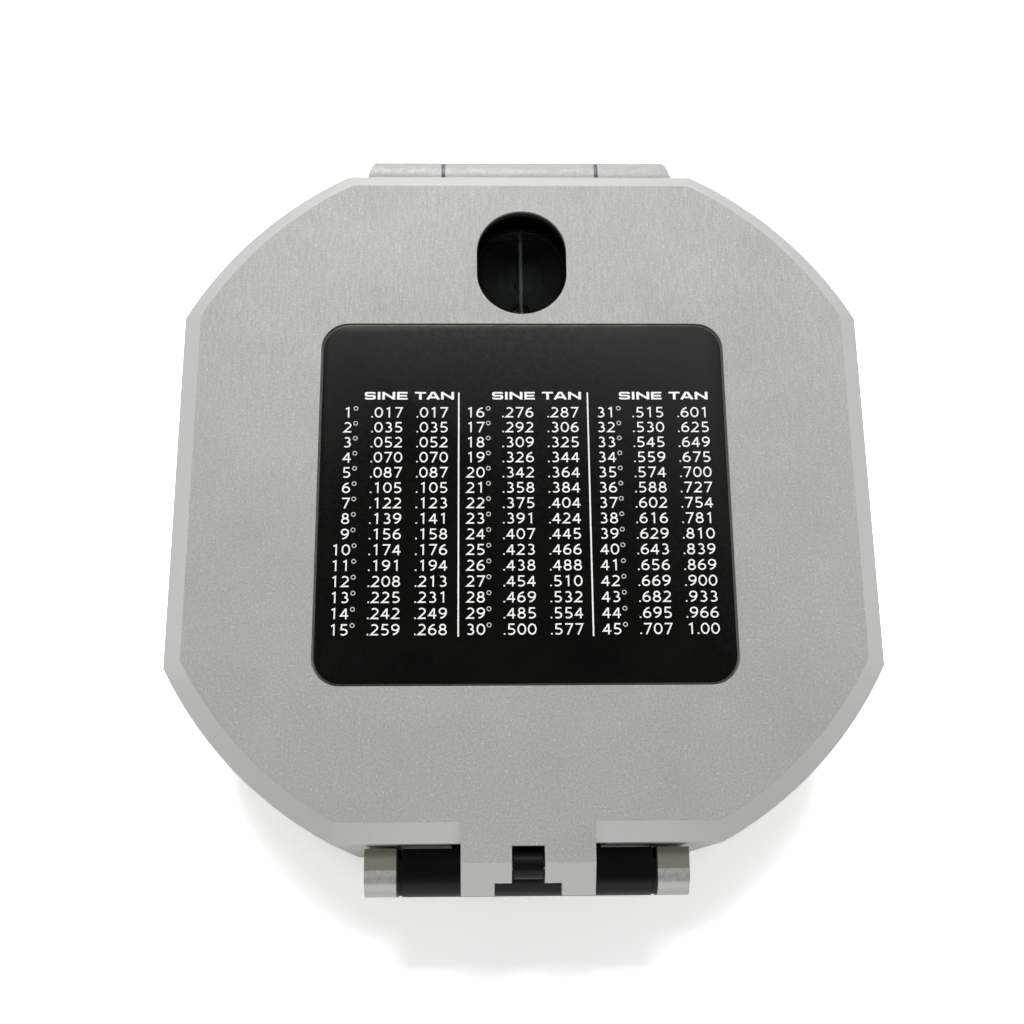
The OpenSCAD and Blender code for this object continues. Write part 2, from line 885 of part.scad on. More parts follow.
module needle_jewel() {
    cup_h = 1;
    cup_r = 0.9;
    glue = 0.02;
    color("crimson")
        rotate_extrude()
            polygon([
                [cup_r, jewel_apex_z - cup_h], [jewel_r, jewel_apex_z - cup_h],
                [jewel_r, jewel_top - glue], [0, jewel_top - glue], [0, jewel_apex_z]
            ]);
}

// A small sleeve on the needle's south arm that levels it
module needle_balance() {
    y0 = -needle_r * 0.62;
    sleeve_l = 2.4;
    wall = 0.35;
    sleeve_half = 1.75;
    color(copper)
        difference() {
            translate([-sleeve_half - wall, y0, blade_z - wall])
                cube([2 * (sleeve_half + wall), sleeve_l, blade_t + 2 * wall]);
            translate([0, 0, blade_z])
                linear_extrude(blade_t)
                    polygon([
                        [arm_wide, arm_root_y], [arm_thin, arm_thin_y], [-arm_thin, arm_thin_y],
                        [-arm_wide, arm_root_y]
                    ]);
        }
}

module azimuth_ring() {
    bevel = 0.9;
    color(card_white)
        union() {
            rotate_extrude($fn = 144)
                polygon([
                    [ring_in_r, ring_z], [well_r - seat_gap, ring_z],
                    [well_r - seat_gap, ring_seat_z + side_gap],
                    [ring_out_r, ring_seat_z + side_gap], [ring_out_r, ring_top],
                    [ring_in_r + bevel, ring_top], [ring_in_r, ring_top - bevel]
                ]);
            for (i = [0 : ring_teeth - 1])
                rotate([0, 0, i * 360 / ring_teeth])
                    x_prism(tooth_in_r, tooth_out_r, [
                        [-tooth_half_root, ring_z + tooth_root], [-tooth_half_root, ring_z],
                        [-tooth_half_tip, ring_z - tooth_h], [tooth_half_tip, ring_z - tooth_h],
                        [tooth_half_root, ring_z], [tooth_half_root, ring_z + tooth_root]
                    ]);
        }
}

// The outline of a small spur gear with straight flanks, with a gap at the angle 0
function pinion_outline(teeth, root, tip, root_half, tip_half) = [
    for (i = [0 : teeth - 1], j = [0 : 3])
        let (
            middle = (i + 0.5) * 360 / teeth,
            r = (j == 0 || j == 3) ? root : tip,
            swing = (j == 0 || j == 3) ? root_half / root : tip_half / tip,
            angle = middle + (j < 2 ? -1 : 1) * swing * 180 / PI
        )
        [r * cos(angle), r * sin(angle)]
];

module declination_pinion() {
    gear_x = tooth_in_r + 0.1;
    gear_w = 2;
    dedendum = 0.7;
    addendum = 0.4;
    head_x = corner_r - screw_head_t + side_gap;
    head_end = corner_r - 0.3;
    slot_w = 0.8;
    slot_d = 0.8;
    outline = pinion_outline(
        pinion_teeth, pinion_r - dedendum, pinion_r + addendum, tooth_pitch * 0.26, tooth_pitch * 0.095
    );
    color(brass)
        rotate([0, 0, pinion_angle])
            difference() {
                union() {
                    translate([gear_x, 0, pinion_z])
                        rotate([0, 90, 0])
                            rotate([0, 0, 180])
                                linear_extrude(gear_w)
                                    polygon(outline);
                    x_rod(gear_x + gear_w, head_x, 0, pinion_z, stem_r);
                    x_rod(head_x, head_end, 0, pinion_z, screw_head_r);
                }
                translate([head_end - slot_d, -slot_w / 2, pinion_z - screw_head_r - over])
                    cube([slot_d + over, slot_w, 2 * (screw_head_r + over)]);
            }
}

module lift_pin() {
    collar = 0.4;
    collar_t = 0.6;
    color(steel)
        rotate([0, 0, lift_angle])
            translate([lever_pin_r, 0, lever_top + pin_seat]) {
                cylinder(h = lid_z - side_gap - (lever_top + pin_seat), r = lift_pin_r);
                cylinder(h = collar_t, r = lift_pin_r + collar);
            }
}

module lift_lever() {
    bar_half = 1.2;
    bar_start = 3;
    bar_past = 1.3;
    eye_r = 0.9;
    color(brass)
        rotate([0, 0, lift_angle])
            difference() {
                union() {
                    translate([bar_start, -bar_half, lever_z])
                        cube([lever_pin_r + bar_past - bar_start, 2 * bar_half, lever_t]);
                    translate([0, 0, lever_z])
                        cylinder(h = lever_t, r = ring_reach + 0.5);
                    translate([fulcrum_r, bar_half, fulcrum_z])
                        rotate([90, 0, 0])
                            cylinder(h = 2 * bar_half, r = eye_r);
                }
                translate([0, 0, lever_z - over])
                    cylinder(h = lever_t + 2 * over, r = ring_reach - 1.1);
                translate([fulcrum_r, bar_half + over, fulcrum_z])
                    rotate([90, 0, 0])
                        cylinder(h = 2 * (bar_half + over), r = fulcrum_pin_r + running);
            }
}

// The lid's tab over the large sight's barrel
module lid_tab() {
    tab_end = -half - tab_reach;
    tab_root = face_chamfer + 2;
    x_prism(-tab_half, tab_half, [
        [tab_end, tab_z], [tab_end, lid_top - tab_drop], [tab_end + tab_bevel, lid_top],
        [tab_root - half, lid_top], [tab_root - half, tab_z]
    ]);
}

// The lid's two ears on the hinge pin
module lid_ears() {
    foot = 1.2;
    foot_l = 0.6;
    for (side = [-1, 1])
        intersection() {
            union() {
                x_rod(-hinge_half - foot, hinge_half + foot, hinge_y, hinge_z, hinge_r);
                x_prism(-hinge_half - foot, hinge_half + foot, [
                    [half - over, lid_z], [half, lid_z], [hinge_y, hinge_z],
                    [hinge_y, hinge_z + hinge_r], [half - over, hinge_z + hinge_r]
                ]);
            }
            scale([side, 1, 1])
                translate([0, 0, lid_z - over])
                    linear_extrude(lid_h)
                        polygon([
                            [knuckle_half + side_gap, half - over],
                            [hinge_half + foot, half - over], [hinge_half + foot, half + foot_l],
                            [hinge_half, hinge_y + hinge_r + over],
                            [knuckle_half + side_gap, hinge_y + hinge_r + over]
                        ]);
        }
}

// The T-shaped cut in the tab: a slot for the small sight's knuckle, then a step for its blade
module tab_cut() {
    slot_start = 0.3;
    step_start = 3.65;
    slot_y = -half - slot_start;
    step_y = -half - step_start;
    end_y = -half - tab_reach - over;
    translate([-peep_slot_w / 2, end_y, tab_z - over])
        cube([peep_slot_w, slot_y - end_y, tab_t + 2 * over]);
    translate([-peep_notch_w / 2, end_y, tab_z - over])
        cube([peep_notch_w, step_y - end_y, tab_t + 2 * over]);
}

module lid() {
    knuckle_x = knuckle_half + side_gap;
    knuckle_gap = 0.45;
    notch_over = 0.1;
    color(silver)
        difference() {
            union() {
                transit_block(lid_z, lid_top, [edge_chamfer, edge_chamfer], [face_chamfer, face_drop]);
                lid_tab();
                lid_ears();
            }
            translate([0, 0, lid_z - over])
                cylinder(h = mirror_z - lid_z + over, r = cavity_r);
            translate([0, 0, mirror_z - over])
                cylinder(h = skin_z - mirror_z + over, r = mirror_r + seat_gap);
            translate([0, window_y, 0]) {
                y_slot(window_w, window_l, skin_z - over, lid_top + over);
                y_slot(
                    window_w + 2 * window_relief, window_l + 2 * window_relief,
                    skin_z - over, lid_top - window_lip
                );
            }
            translate([0, -plate_shift, 0])
                rounded_plate(
                    plate_w + 2 * seat_gap, plate_l + 2 * seat_gap, plate_r,
                    lid_top - plate_t - seat_gap, lid_top + over
                );
            translate([-notch_half, -half - over, lid_z - over])
                cube([2 * notch_half, half + 2 * over - mirror_r + 2, tab_z + notch_over - lid_z + over]);
            x_rod(-knuckle_x, knuckle_x, hinge_y, hinge_z, hinge_r + knuckle_gap);
            tab_cut();
            x_rod(pin_end - tab_half, tab_half - pin_end, peep_y, peep_z, peep_pin_r);
            x_rod(-hinge_half - over, hinge_half + over, hinge_y, hinge_z, hinge_pin_r + running);
        }
}

module table_plate() {
    color(black)
        translate([0, -plate_shift, 0])
            rounded_plate(plate_w, plate_l, plate_r, lid_top - plate_t - seat_gap, lid_top - seat_gap);
}

module mirror() {
    peep_gap = 0.4;
    color(clear_glass)
        difference() {
            translate([0, 0, mirror_z])
                cylinder(h = mirror_t, r = mirror_r);
            translate([-mirror_r, -mirror_r - over, mirror_z - over])
                cube([2 * mirror_r, mirror_r + over + peep_tip_y + peep_gap, mirror_t + 2 * over]);
        }
}

// A spring ring that holds the mirror, open where the small sight's blade swings through
module mirror_ring() {
    gap_half = peep_blade_w / 2 + pass_gap;
    lap = 1;
    ring_fit = 0.02;
    color(black)
        difference() {
            flat_ring(mirror_r - lap, cavity_r - ring_fit, mirror_z - mirror_ring_t, mirror_z);
            translate([-gap_half, -half, mirror_z - over])
                cube([2 * gap_half, half, 2 * over]);
        }
}

module small_sight_pin() {
    small_pin_end = pin_end + 0.1;
    color(steel)
        x_rod(small_pin_end - tab_half, tab_half - small_pin_end, peep_y, peep_z, peep_pin_r);
}

module small_sight() {
    blade_top = tab_z - 0.15;
    blade_low = blade_top - peep_t;
    neck_l = 2.2;
    web_l = 1.5;
    end_r = 1.8;
    hole_r = 0.6;
    hole_back = 2.6;
    wide = peep_blade_w / 2;
    color(black)
        difference() {
            union() {
                x_rod(-peep_knuckle_w / 2, peep_knuckle_w / 2, peep_y, peep_z, peep_r);
                translate([-peep_knuckle_w / 2, peep_y - 1, blade_low])
                    cube([peep_knuckle_w, neck_l + 1, peep_t]);
                translate([-peep_knuckle_w / 2, peep_y - 1, blade_low])
                    cube([peep_knuckle_w, web_l + 1, peep_z - peep_r / 2 - blade_low]);
                translate([-wide, peep_y + neck_l, blade_low])
                    cube([2 * wide, peep_tip_y - end_r - peep_y - neck_l, peep_t]);
                translate([end_r - wide, peep_tip_y - 2 * end_r, blade_low])
                    cube([2 * (wide - end_r), 2 * end_r, peep_t]);
                for (s = [-1, 1])
                    translate([s * (wide - end_r), peep_tip_y - end_r, blade_low])
                        cylinder(h = peep_t, r = end_r);
            }
            x_rod(-wide, wide, peep_y, peep_z, peep_pin_r + running);
            translate([0, peep_tip_y - hole_back, blade_low - over])
                cylinder(h = peep_t + 2 * over, r = hole_r);
        }
}

module sight_arm() {
    x1 = barrel_half - washer_t - side_gap;
    taper_y = sight_y + 12;
    taper_l = 5;
    ear_in = tip_knuckle_half + side_gap;
    mouth_back = 1.5;
    mouth_l = 4;
    color(black)
        difference() {
            union() {
                x_rod(-x1, x1, sight_y, sight_z, barrel_r);
                x_prism(-x1, x1, [
                    [sight_y, sight_z], [-half - pass_gap, sight_z],
                    [-half - pass_gap, sight_z + barrel_r], [sight_y, sight_z + barrel_r]
                ]);
                translate([0, 0, arm_z])
                    linear_extrude(arm_t)
                        polygon([
                            [-arm_root_half, sight_y], [arm_root_half, sight_y],
                            [arm_root_half, taper_y], [arm_end_half, taper_y + taper_l],
                            [arm_end_half, tip_y], [-arm_end_half, tip_y],
                            [-arm_end_half, taper_y + taper_l], [-arm_root_half, taper_y]
                        ]);
                x_rod(-arm_end_half, arm_end_half, tip_y, tip_z, tip_knuckle_r);
            }
            x_rod(-lug_half, lug_half, sight_y, sight_z, sight_pin_r + running);
            translate([0, (arm_slot_y0 + arm_slot_y1) / 2, 0])
                y_slot(arm_slot_w, arm_slot_y1 - arm_slot_y0, arm_z - over, arm_top + over);
            translate([-ear_in, tip_y - mouth_back, arm_z - over])
                cube([2 * ear_in, mouth_l, arm_t + 2 * over]);
            x_rod(-arm_end_half - over, arm_end_half + over, tip_y, tip_z, tip_pin_r);
        }
}

module tip_pin() {
    color(steel)
        x_rod(side_gap - arm_end_half, arm_end_half - side_gap, tip_y, tip_z, tip_pin_r);
}

module sight_tip() {
    wide = arm_end_half - 0.1;
    corner = 1.6;
    blade_y = tip_y + 1.6;
    notch_y = window_y - 0.8;
    notch_corner = 1.2;
    notch_l = tip_end_y - notch_y;
    neck_l = 3;
    hole_back = 2.35;
    low = tip_z - tip_t / 2;
    color(black)
        difference() {
            union() {
                x_rod(-tip_knuckle_half, tip_knuckle_half, tip_y, tip_z, tip_knuckle_r);
                translate([-tip_knuckle_half, tip_y, low])
                    cube([2 * tip_knuckle_half, neck_l, tip_t]);
                translate([0, (blade_y + tip_end_y) / 2, 0])
                    rounded_plate(2 * wide, tip_end_y - blade_y, corner, low, low + tip_t);
            }
            x_rod(-wide, wide, tip_y, tip_z, tip_pin_r + running);
            translate([-tip_slot_w / 2, notch_y + notch_corner, low - over])
                cube([tip_slot_w, notch_l, tip_t + 2 * over]);
            translate([notch_corner - tip_slot_w / 2, notch_y, low - over])
                cube([tip_slot_w - 2 * notch_corner, notch_l, tip_t + 2 * over]);
            for (s = [-1, 1])
                translate([s * (tip_slot_w / 2 - notch_corner), notch_y + notch_corner, low - over])
                    cylinder(h = tip_t + 2 * over, r = notch_corner);
            translate([0, notch_y - hole_back, low - over])
                cylinder(h = tip_t + 2 * over, r = tip_hole_r);
        }
}

body_case();
lid_hinge_pin();
lid_hinge_washers();
sight_pin();
sight_washers();
dial_glass();
glass_gasket();
bezel_ring();
ring_snap_wire();
index_pin();
dial_plate();
dial_plate_screws();
bullseye_cup();
bullseye_liquid();
bullseye_lens();
pinion_bushing();
lever_bracket();
lever_fulcrum_pin();
clinometer_shaft();
vernier_lever();
lever_screw();
clinometer_spring_washer();
vernier_arm();
vial_holder();
vial_glass();
vial_liquid();
vial_plugs();
damping_disc();
pivot_post();
needle_blade();
needle_hub();
needle_magnet();
needle_jewel();
needle_balance();
azimuth_ring();
declination_pinion();
lift_pin();
lift_lever();
lid();
table_plate();
mirror();
mirror_ring();
small_sight_pin();
small_sight();
sight_arm();
tip_pin();
sight_tip();
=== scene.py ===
"""Finish of a pocket transit that lies on its base with its lid shut.

The frame holds the measured parts. This script dresses them and adds what is printed,
engraved or polished on them. Lengths are in millimetres until a mesh is made.
"""
import logging
from dataclasses import dataclass
from enum import Enum
from math import asin, atan, cos, degrees, pi, radians, sin, tan
from typing import Callable, Iterable, Sequence

import bpy
import bmesh
import numpy as np
from mathutils import Matrix, Vector


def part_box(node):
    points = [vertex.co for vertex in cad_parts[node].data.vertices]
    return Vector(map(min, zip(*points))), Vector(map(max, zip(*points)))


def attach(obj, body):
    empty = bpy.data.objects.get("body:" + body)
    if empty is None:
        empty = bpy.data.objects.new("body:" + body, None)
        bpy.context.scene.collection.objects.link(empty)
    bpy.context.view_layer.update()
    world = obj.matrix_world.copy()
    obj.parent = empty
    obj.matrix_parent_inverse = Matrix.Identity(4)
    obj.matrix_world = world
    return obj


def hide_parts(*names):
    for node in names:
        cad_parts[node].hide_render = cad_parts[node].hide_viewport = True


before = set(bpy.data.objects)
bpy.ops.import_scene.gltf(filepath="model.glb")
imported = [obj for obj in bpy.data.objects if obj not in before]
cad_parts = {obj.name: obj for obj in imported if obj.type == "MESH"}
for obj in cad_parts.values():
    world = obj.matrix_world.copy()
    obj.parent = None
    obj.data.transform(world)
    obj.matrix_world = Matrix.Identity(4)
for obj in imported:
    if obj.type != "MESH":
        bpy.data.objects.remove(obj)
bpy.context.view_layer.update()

MM = 0.001
log = logging.getLogger("pocket_transit")

Colour = tuple[float, float, float]
Point = tuple[float, float, float]
Node = bpy.types.ShaderNode
Socket = bpy.types.NodeSocket
FaceTest = Callable[[np.ndarray, np.ndarray], np.ndarray]


class Body(Enum):
    """The bodies that new pieces ride on."""

    CASE = "case"
    CLINOMETER = "clinometer"
    NEEDLE = "needle"
    AZIMUTH = "azimuth"
    COVER = "cover"
    PEEP = "peep_sight"
    LARGE_SIGHT = "large_sight"
    TIP = "folding_tip"


class Slot(Enum):
    """The names of the measured parts' finishes; no new piece here is given one."""

    SILVER = "silver_body"
    BLACK = "black_sight"
    TABLE = "table_plate"
    STEEL = "steel"
    MIRROR = "mirror_glass"
    DIAL = "dial_white"


def srgb(red: float, green: float, blue: float) -> Colour:
    """Turns a colour read off a screen into the linear one that shaders take.

    Args:
        red, green, blue: The channels, from 0 to 255.

    Returns:
        The linear colour.
    """
    channels = np.array([red, green, blue]) / 255.0
    linear = np.where(channels <= 0.04045, channels / 12.92, ((channels + 0.055) / 1.055) ** 2.4)
    return tuple(float(c) for c in linear)


def node_corner(name: str) -> tuple[np.ndarray, np.ndarray]:
    """Gives a measured part's lowest and highest corner in millimetres."""
    low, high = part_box(name)
    return np.array(low) / MM, np.array(high) / MM


@dataclass
class Surface:
    """A mesh in the making: points in millimetres and faces of any number of corners."""

    points: np.ndarray
    faces: list

    def moved(self, by: Point) -> "Surface":
        """Returns the surface shifted by a vector."""
        return Surface(self.points + np.array(by), self.faces)

    def turned(self, angle: float, axis: str = "Z") -> "Surface":
        """Returns the surface turned about an axis through the origin.

        Args:
            angle: The turn in degrees.
            axis: X, Y or Z.

        Returns:
            The turned surface.
        """
        spin = np.array(Matrix.Rotation(radians(angle), 3, axis))
        return Surface(self.points @ spin.T, self.faces)


def joined(parts: Iterable[Surface]) -> Surface:
    """Puts several surfaces into one.

    Args:
        parts: The surfaces.

    Returns:
        One surface that holds all their faces.
    """
    points, faces, base = [], [], 0
    for part in parts:
        points.append(part.points)
        faces.extend(tuple(int(i) + base for i in f) for f in part.faces)
        base += len(part.points)
    return Surface(np.concatenate(points), faces)


def grid(points: np.ndarray, close_u: bool = False, close_v: bool = False) -> Surface:
    """Joins a grid of points with quads, where u counts rows and v counts columns.

    Args:
        points: An array of rows by columns by 3.
        close_u: Whether the last row joins the first.
        close_v: Whether the last column joins the first.

    Returns:
        The surface, which faces u cross v.
    """
    rows, columns = points.shape[:2]
    u = np.arange(rows if close_u else rows - 1)[:, None]
    v = np.arange(columns if close_v else columns - 1)[None, :]
    u1, v1 = (u + 1) % rows, (v + 1) % columns
    corners = [u * columns + v, u1 * columns + v, u1 * columns + v1, u * columns + v1]
    quads = np.stack([np.broadcast_to(c, (len(u), v.shape[1])) for c in corners], axis=-1)
    return Surface(points.reshape(-1, 3), [tuple(q) for q in quads.reshape(-1, 4)])


def capped(rows: np.ndarray) -> Surface:
    """Skins a row of closed loops and puts a face on the first and the last.

    Args:
        rows: An array of loops by points by 3, where row cross loop points outwards.

    Returns:
        The closed surface.
    """
    skin = grid(rows, close_v=True)
    count, total = rows.shape[1], len(skin.points)
    skin.faces.append(tuple(range(count)))
    skin.faces.append(tuple(range(total - 1, total - count - 1, -1)))
    return skin


def stack(loops: np.ndarray) -> Surface:
    """Skins a row of closed loops that climb, each anticlockwise from above, and caps both ends."""
    return capped(loops[:, ::-1])


def lathe(profile: Sequence[tuple[float, float]], steps: int = 96) -> Surface:
    """Turns a closed outline of radius and height round Z: x = r cos a, y = r sin a.

    Args:
        profile: The outline, anticlockwise with radius to the right and height up.
        steps: The facets in a whole turn.

    Returns:
        The turned surface.
    """
    return grid(swept(profile, np.arange(steps) * 2 * pi / steps), close_u=True, close_v=True)


def swept(profile: Sequence[tuple[float, float]], angles: np.ndarray) -> np.ndarray:
    """Gives an outline of radius and height at each of a row of angles round Z."""
    outline = np.array(profile, float)
    across = outline[:, 0][None, :]
    height = np.broadcast_to(outline[:, 1][None, :], (len(angles), len(outline)))
    return np.stack([across * np.cos(angles)[:, None], across * np.sin(angles)[:, None], height], axis=-1)


def rounded_rectangle(width: float, length: float, corner: float, steps: int = 10) -> np.ndarray:
    """Gives a rectangle with quarter circles for corners, anticlockwise.

    Args:
        width, length: The sides along X and Y.
        corner: The radius of the corners.
        steps: The points on each corner.

    Returns:
        The points, as rows of x and y.
    """
    turn = np.linspace(0, pi / 2, steps)
    quarters = np.arange(4)[:, None] * pi / 2 + turn[None, :]
    middle_x = np.array([1, -1, -1, 1])[:, None] * (width / 2 - corner)
    middle_y = np.array([1, 1, -1, -1])[:, None] * (length / 2 - corner)
    outline = np.stack([middle_x + corner * np.cos(quarters), middle_y + corner * np.sin(quarters)], -1)
    return outline.reshape(-1, 2)


def obround(width: float, length: float, steps: int = 64, side_steps: int = 10) -> np.ndarray:
    """Gives a slot outline along Y, two half circles joined by straight sides, anticlockwise.

    Args:
        width, length: Its sizes along X and Y.
        steps: The points on each half circle.
        side_steps: The points on each straight side, with both ends.

    Returns:
        The points, as rows of x and y.
    """
    half_turn = np.linspace(0, pi, steps)
    reach = (length - width) / 2
    upper = np.stack([np.cos(half_turn) * width / 2, np.sin(half_turn) * width / 2 + reach], -1)
    down = np.linspace(reach, -reach, side_steps)[1:-1]
    side = np.column_stack([np.full(len(down), -width / 2), down])
    half = np.concatenate([upper, side])
    return np.concatenate([half, -half])


def at_height(outline: np.ndarray, z: float) -> np.ndarray:
    """Lifts a flat outline to a height, as rows of x, y and z."""
    return np.column_stack([outline, np.full(len(outline), z)])


def boxes(centres: np.ndarray, sizes: np.ndarray, angles: np.ndarray) -> Surface:
    """Makes many small bars at once, each turned about Z.

    A corner is the centre plus the bar's half sizes, turned by its angle.

    Args:
        centres: One row of x, y, z for each bar.
        sizes: One row of sizes for each bar.
        angles: The turn of each bar, in radians.

    Returns:
        The bars as one surface.
    """
    signs = np.array([[x, y, z] for z in (-1, 1) for x, y in ((-1, -1), (1, -1), (1, 1), (-1, 1))])
    corners = signs[None] * np.asarray(sizes, float)[:, None, :] / 2
    c, s = np.cos(angles)[:, None], np.sin(angles)[:, None]
    x = corners[..., 0] * c - corners[..., 1] * s
    y = corners[..., 0] * s + corners[..., 1] * c
    points = np.stack([x, y, corners[..., 2]], -1) + np.asarray(centres, float)[:, None, :]
    quad = np.array([[3, 2, 1, 0], [4, 5, 6, 7], [0, 1, 5, 4], [1, 2, 6, 5], [2, 3, 7, 6], [3, 0, 4, 7]])
    faces = (quad[None] + np.arange(len(points))[:, None, None] * 8).reshape(-1, 4)
    return Surface(points.reshape(-1, 3), [tuple(f) for f in faces])


@dataclass(frozen=True)
class Scale:
    """The marks of a round scale: short bars along the radius, on a surface at one height."""

    z: float
    width: float = 0.1
    ink: float = 0.02

    def marks(self, angles: np.ndarray, inner: np.ndarray, outer: np.ndarray) -> Surface:
        """Makes one bar for each angle.

        Args:
            angles: The place of each mark, in radians from +X.
            inner, outer: The radii that it runs between.

        Returns:
            All the marks as one surface.
        """
        count = len(angles)
        inner, outer = np.broadcast_to(inner, count), np.broadcast_to(outer, count)
        middle = (inner + outer) / 2
        centres = np.stack([middle * np.cos(angles), middle * np.sin(angles), np.full(count, self.z)], -1)
        sizes = np.stack([outer - inner, np.full(count, self.width), np.full(count, 2 * self.ink)], -1)
        return boxes(centres, sizes, angles)


def arc(x: float, y: float, wide: float, tall: float, start: float, stop: float, steps: int) -> np.ndarray:
    """Draws part of an ellipse.

    Args:
        x, y: Its middle.
        wide, tall: Its radii.
        start, stop: Where it begins and ends, in degrees from +X.
        steps: Its points.

    Returns:
        The points, as rows of x and y.
    """
    angles = np.radians(np.linspace(start, stop, steps))
    return np.stack([x + wide * np.cos(angles), y + tall * np.sin(angles)], -1)


def line(*points: tuple[float, float]) -> np.ndarray:
    """Draws straight lines from point to point."""
    return np.array(points, float)


def softened(points: Sequence[tuple[float, float]], corner: float, steps: int = 4) -> np.ndarray:
    """Draws straight lines with a curve in each corner, between points at a set distance from it.

    Args:
        points: The ends and the corners.
        corner: How far from a corner its curve begins.
        steps: The points on each curve.

    Returns:
        The points, as rows of x and y.
    """
    path = np.array(points, float)
    drawn = [path[:1]]
    share = np.linspace(0, 1, steps)[:, None]
    for before, middle, after in zip(path, path[1:], path[2:]):
        first = middle + (before - middle) / np.linalg.norm(before - middle) * corner
        last = middle + (after - middle) / np.linalg.norm(after - middle) * corner
        drawn.append((1 - share) ** 2 * first + 2 * share * (1 - share) * middle + share ** 2 * last)
    return np.concatenate([*drawn, path[-1:]])


@dataclass(frozen=True)
class Stroke:
    """One line of a letter that is one unit high, and whether it closes on itself."""

    path: np.ndarray
    loop: bool = False

    def upside_down(self) -> "Stroke":
        """Returns the stroke turned half round about the letter's middle."""
        return Stroke(np.array([0.0, 1.0]) - self.path, self.loop)


class StrokeType:
    """Letters drawn with lines of even width, as an engraver's template draws them."""

    thickness: float = 0.02
    sink: float = 0.01
    figure_step: float = 0.91
    steps: dict[str, float] = {
        ".": 0.29, "S": 1.04, "I": 0.37, "N": 1.19, "E": 0.995, "T": 0.92, "A": 1.13, "W": 1.3,
    }

    def __init__(self, weight: float) -> None:
        """Draws the alphabet.

        Args:
            weight: The width of a line, for letters one unit high.
        """
        self.weight = weight
        six = [
            Stroke(arc(0, 0.31, 0.3, 0.25, 0, 335, 14), True),
            Stroke(arc(0.27, 0.36, 0.57, 0.575, 96, 183, 7)),
        ]
        two = np.concatenate([arc(-0.03, 0.68, 0.29, 0.26, 140, -25, 9), line((-0.3, 0.06), (0.33, 0.06))])
        five = np.concatenate([
            line((0.27, 0.94), (-0.19, 0.94), (-0.23, 0.54)), arc(-0.05, 0.3, 0.33, 0.25, 112, -130, 11),
        ])
        bend = [
            (0.34, 0.74), (0.34, 0.89), (-0.34, 0.89), (-0.34, 0.5), (0.34, 0.5), (0.34, 0.11), (-0.34, 0.11),
            (-0.34, 0.26),
        ]
        self.strokes: dict[str, list[Stroke]] = {
            "0": [Stroke(arc(0, 0.5, 0.32, 0.44, 0, 338, 16), True)],
            "1": [Stroke(line((-0.2, 0.82), (0.05, 0.94), (0.05, 0.0)))],
            "2": [Stroke(two)],
            "3": [
                Stroke(arc(-0.04, 0.72, 0.25, 0.22, 135, -80, 9)),
                Stroke(arc(-0.04, 0.28, 0.31, 0.23, 85, -135, 9)),
            ],
            "4": [
                Stroke(line((0.15, 0.0), (0.15, 0.94))),
                Stroke(line((0.12, 0.92), (-0.31, 0.3), (0.36, 0.3))),
            ],
            "5": [Stroke(five)],
            "6": six,
            "7": [Stroke(line((-0.33, 0.94), (0.3, 0.94), (-0.12, 0.0)))],
            "8": [
                Stroke(arc(0, 0.73, 0.24, 0.21, 0, 330, 12), True),
                Stroke(arc(0, 0.28, 0.3, 0.23, 0, 330, 12), True),
            ],
            "9": [stroke.upside_down() for stroke in six],
            ".": [Stroke(line((-0.07, 0.07), (0.07, 0.07)))],
            "S": [Stroke(softened(bend, 0.12))],
            "I": [Stroke(line((0, 0), (0, 1)))],
            "N": [
                Stroke(line((-0.415, 0), (-0.415, 1))), Stroke(line((0.415, 0), (0.415, 1))),
                Stroke(line((-0.415, 0.9), (0.415, 0.1))),
            ],
            "E": [
                Stroke(line((0.423, 0.89), (-0.318, 0.89), (-0.318, 0.11), (0.423, 0.11))),
                Stroke(line((-0.318, 0.5), (0.38, 0.5))),
            ],
            "T": [Stroke(line((-0.45, 0.89), (0.45, 0.89))), Stroke(line((0, 0.9), (0, 0)))],
            "A": [
                Stroke(line((-0.445, 0), (-0.08, 0.9), (0.08, 0.9), (0.445, 0))),
                Stroke(line((-0.3, 0.28), (0.3, 0.28))),
            ],
            "W": [Stroke(line((-0.56, 1), (-0.3, 0.06), (0, 0.86), (0.3, 0.06), (0.56, 1)))],
        }
        self.cast: dict[str, Surface] = {}

    def step(self, character: str) -> float:
        """Gives the room that a letter takes, for letters one unit high."""
        return self.steps.get(character, self.figure_step)

    def ribbon(self, stroke: Stroke, top: float) -> Surface:
        """Makes a stroke solid.

        Each point moves half the weight to both sides along (a + b) / (1 + a . b), where a and b
        are the path's unit normals before and after it.

        Args:
            stroke: The stroke.
            top: The height of its upper side.

        Returns:
            Its surface, for letters one unit high.
        """
        path = stroke.path
        if stroke.loop:
            before, after = path - np.roll(path, 1, 0), np.roll(path, -1, 0) - path
        else:
            legs = np.diff(path, axis=0)
            before, after = np.concatenate([legs[:1], legs]), np.concatenate([legs, legs[-1:]])
        a, b = (np.stack([-leg[:, 1], leg[:, 0]], -1) / np.linalg.norm(leg, axis=1)[:, None]
                for leg in (before, after))
        side = (a + b) / (1 + (a * b).sum(1))[:, None].clip(0.25) * self.weight / 2
        left, right = path + side, path - side
        rows = np.stack([
            at_height(left, top), at_height(left, -self.sink),
            at_height(right, -self.sink), at_height(right, top),
        ], axis=1)
        return grid(rows, close_u=True, close_v=True) if stroke.loop else capped(rows)

    def letter(self, character: str) -> Surface:
        """Makes a letter's surface the first time that it is asked for.

        Later strokes lie a little lower, so that no two faces share a plane where they cross.

        Args:
            character: The letter.

        Returns:
            Its surface, one unit high, with its middle at x = 0 and its foot at y = 0.
        """
        if character not in self.cast:
            self.cast[character] = joined(
                self.ribbon(stroke, self.thickness * (1 - 0.15 * index))
                for index, stroke in enumerate(self.strokes[character])
            )
        return self.cast[character]

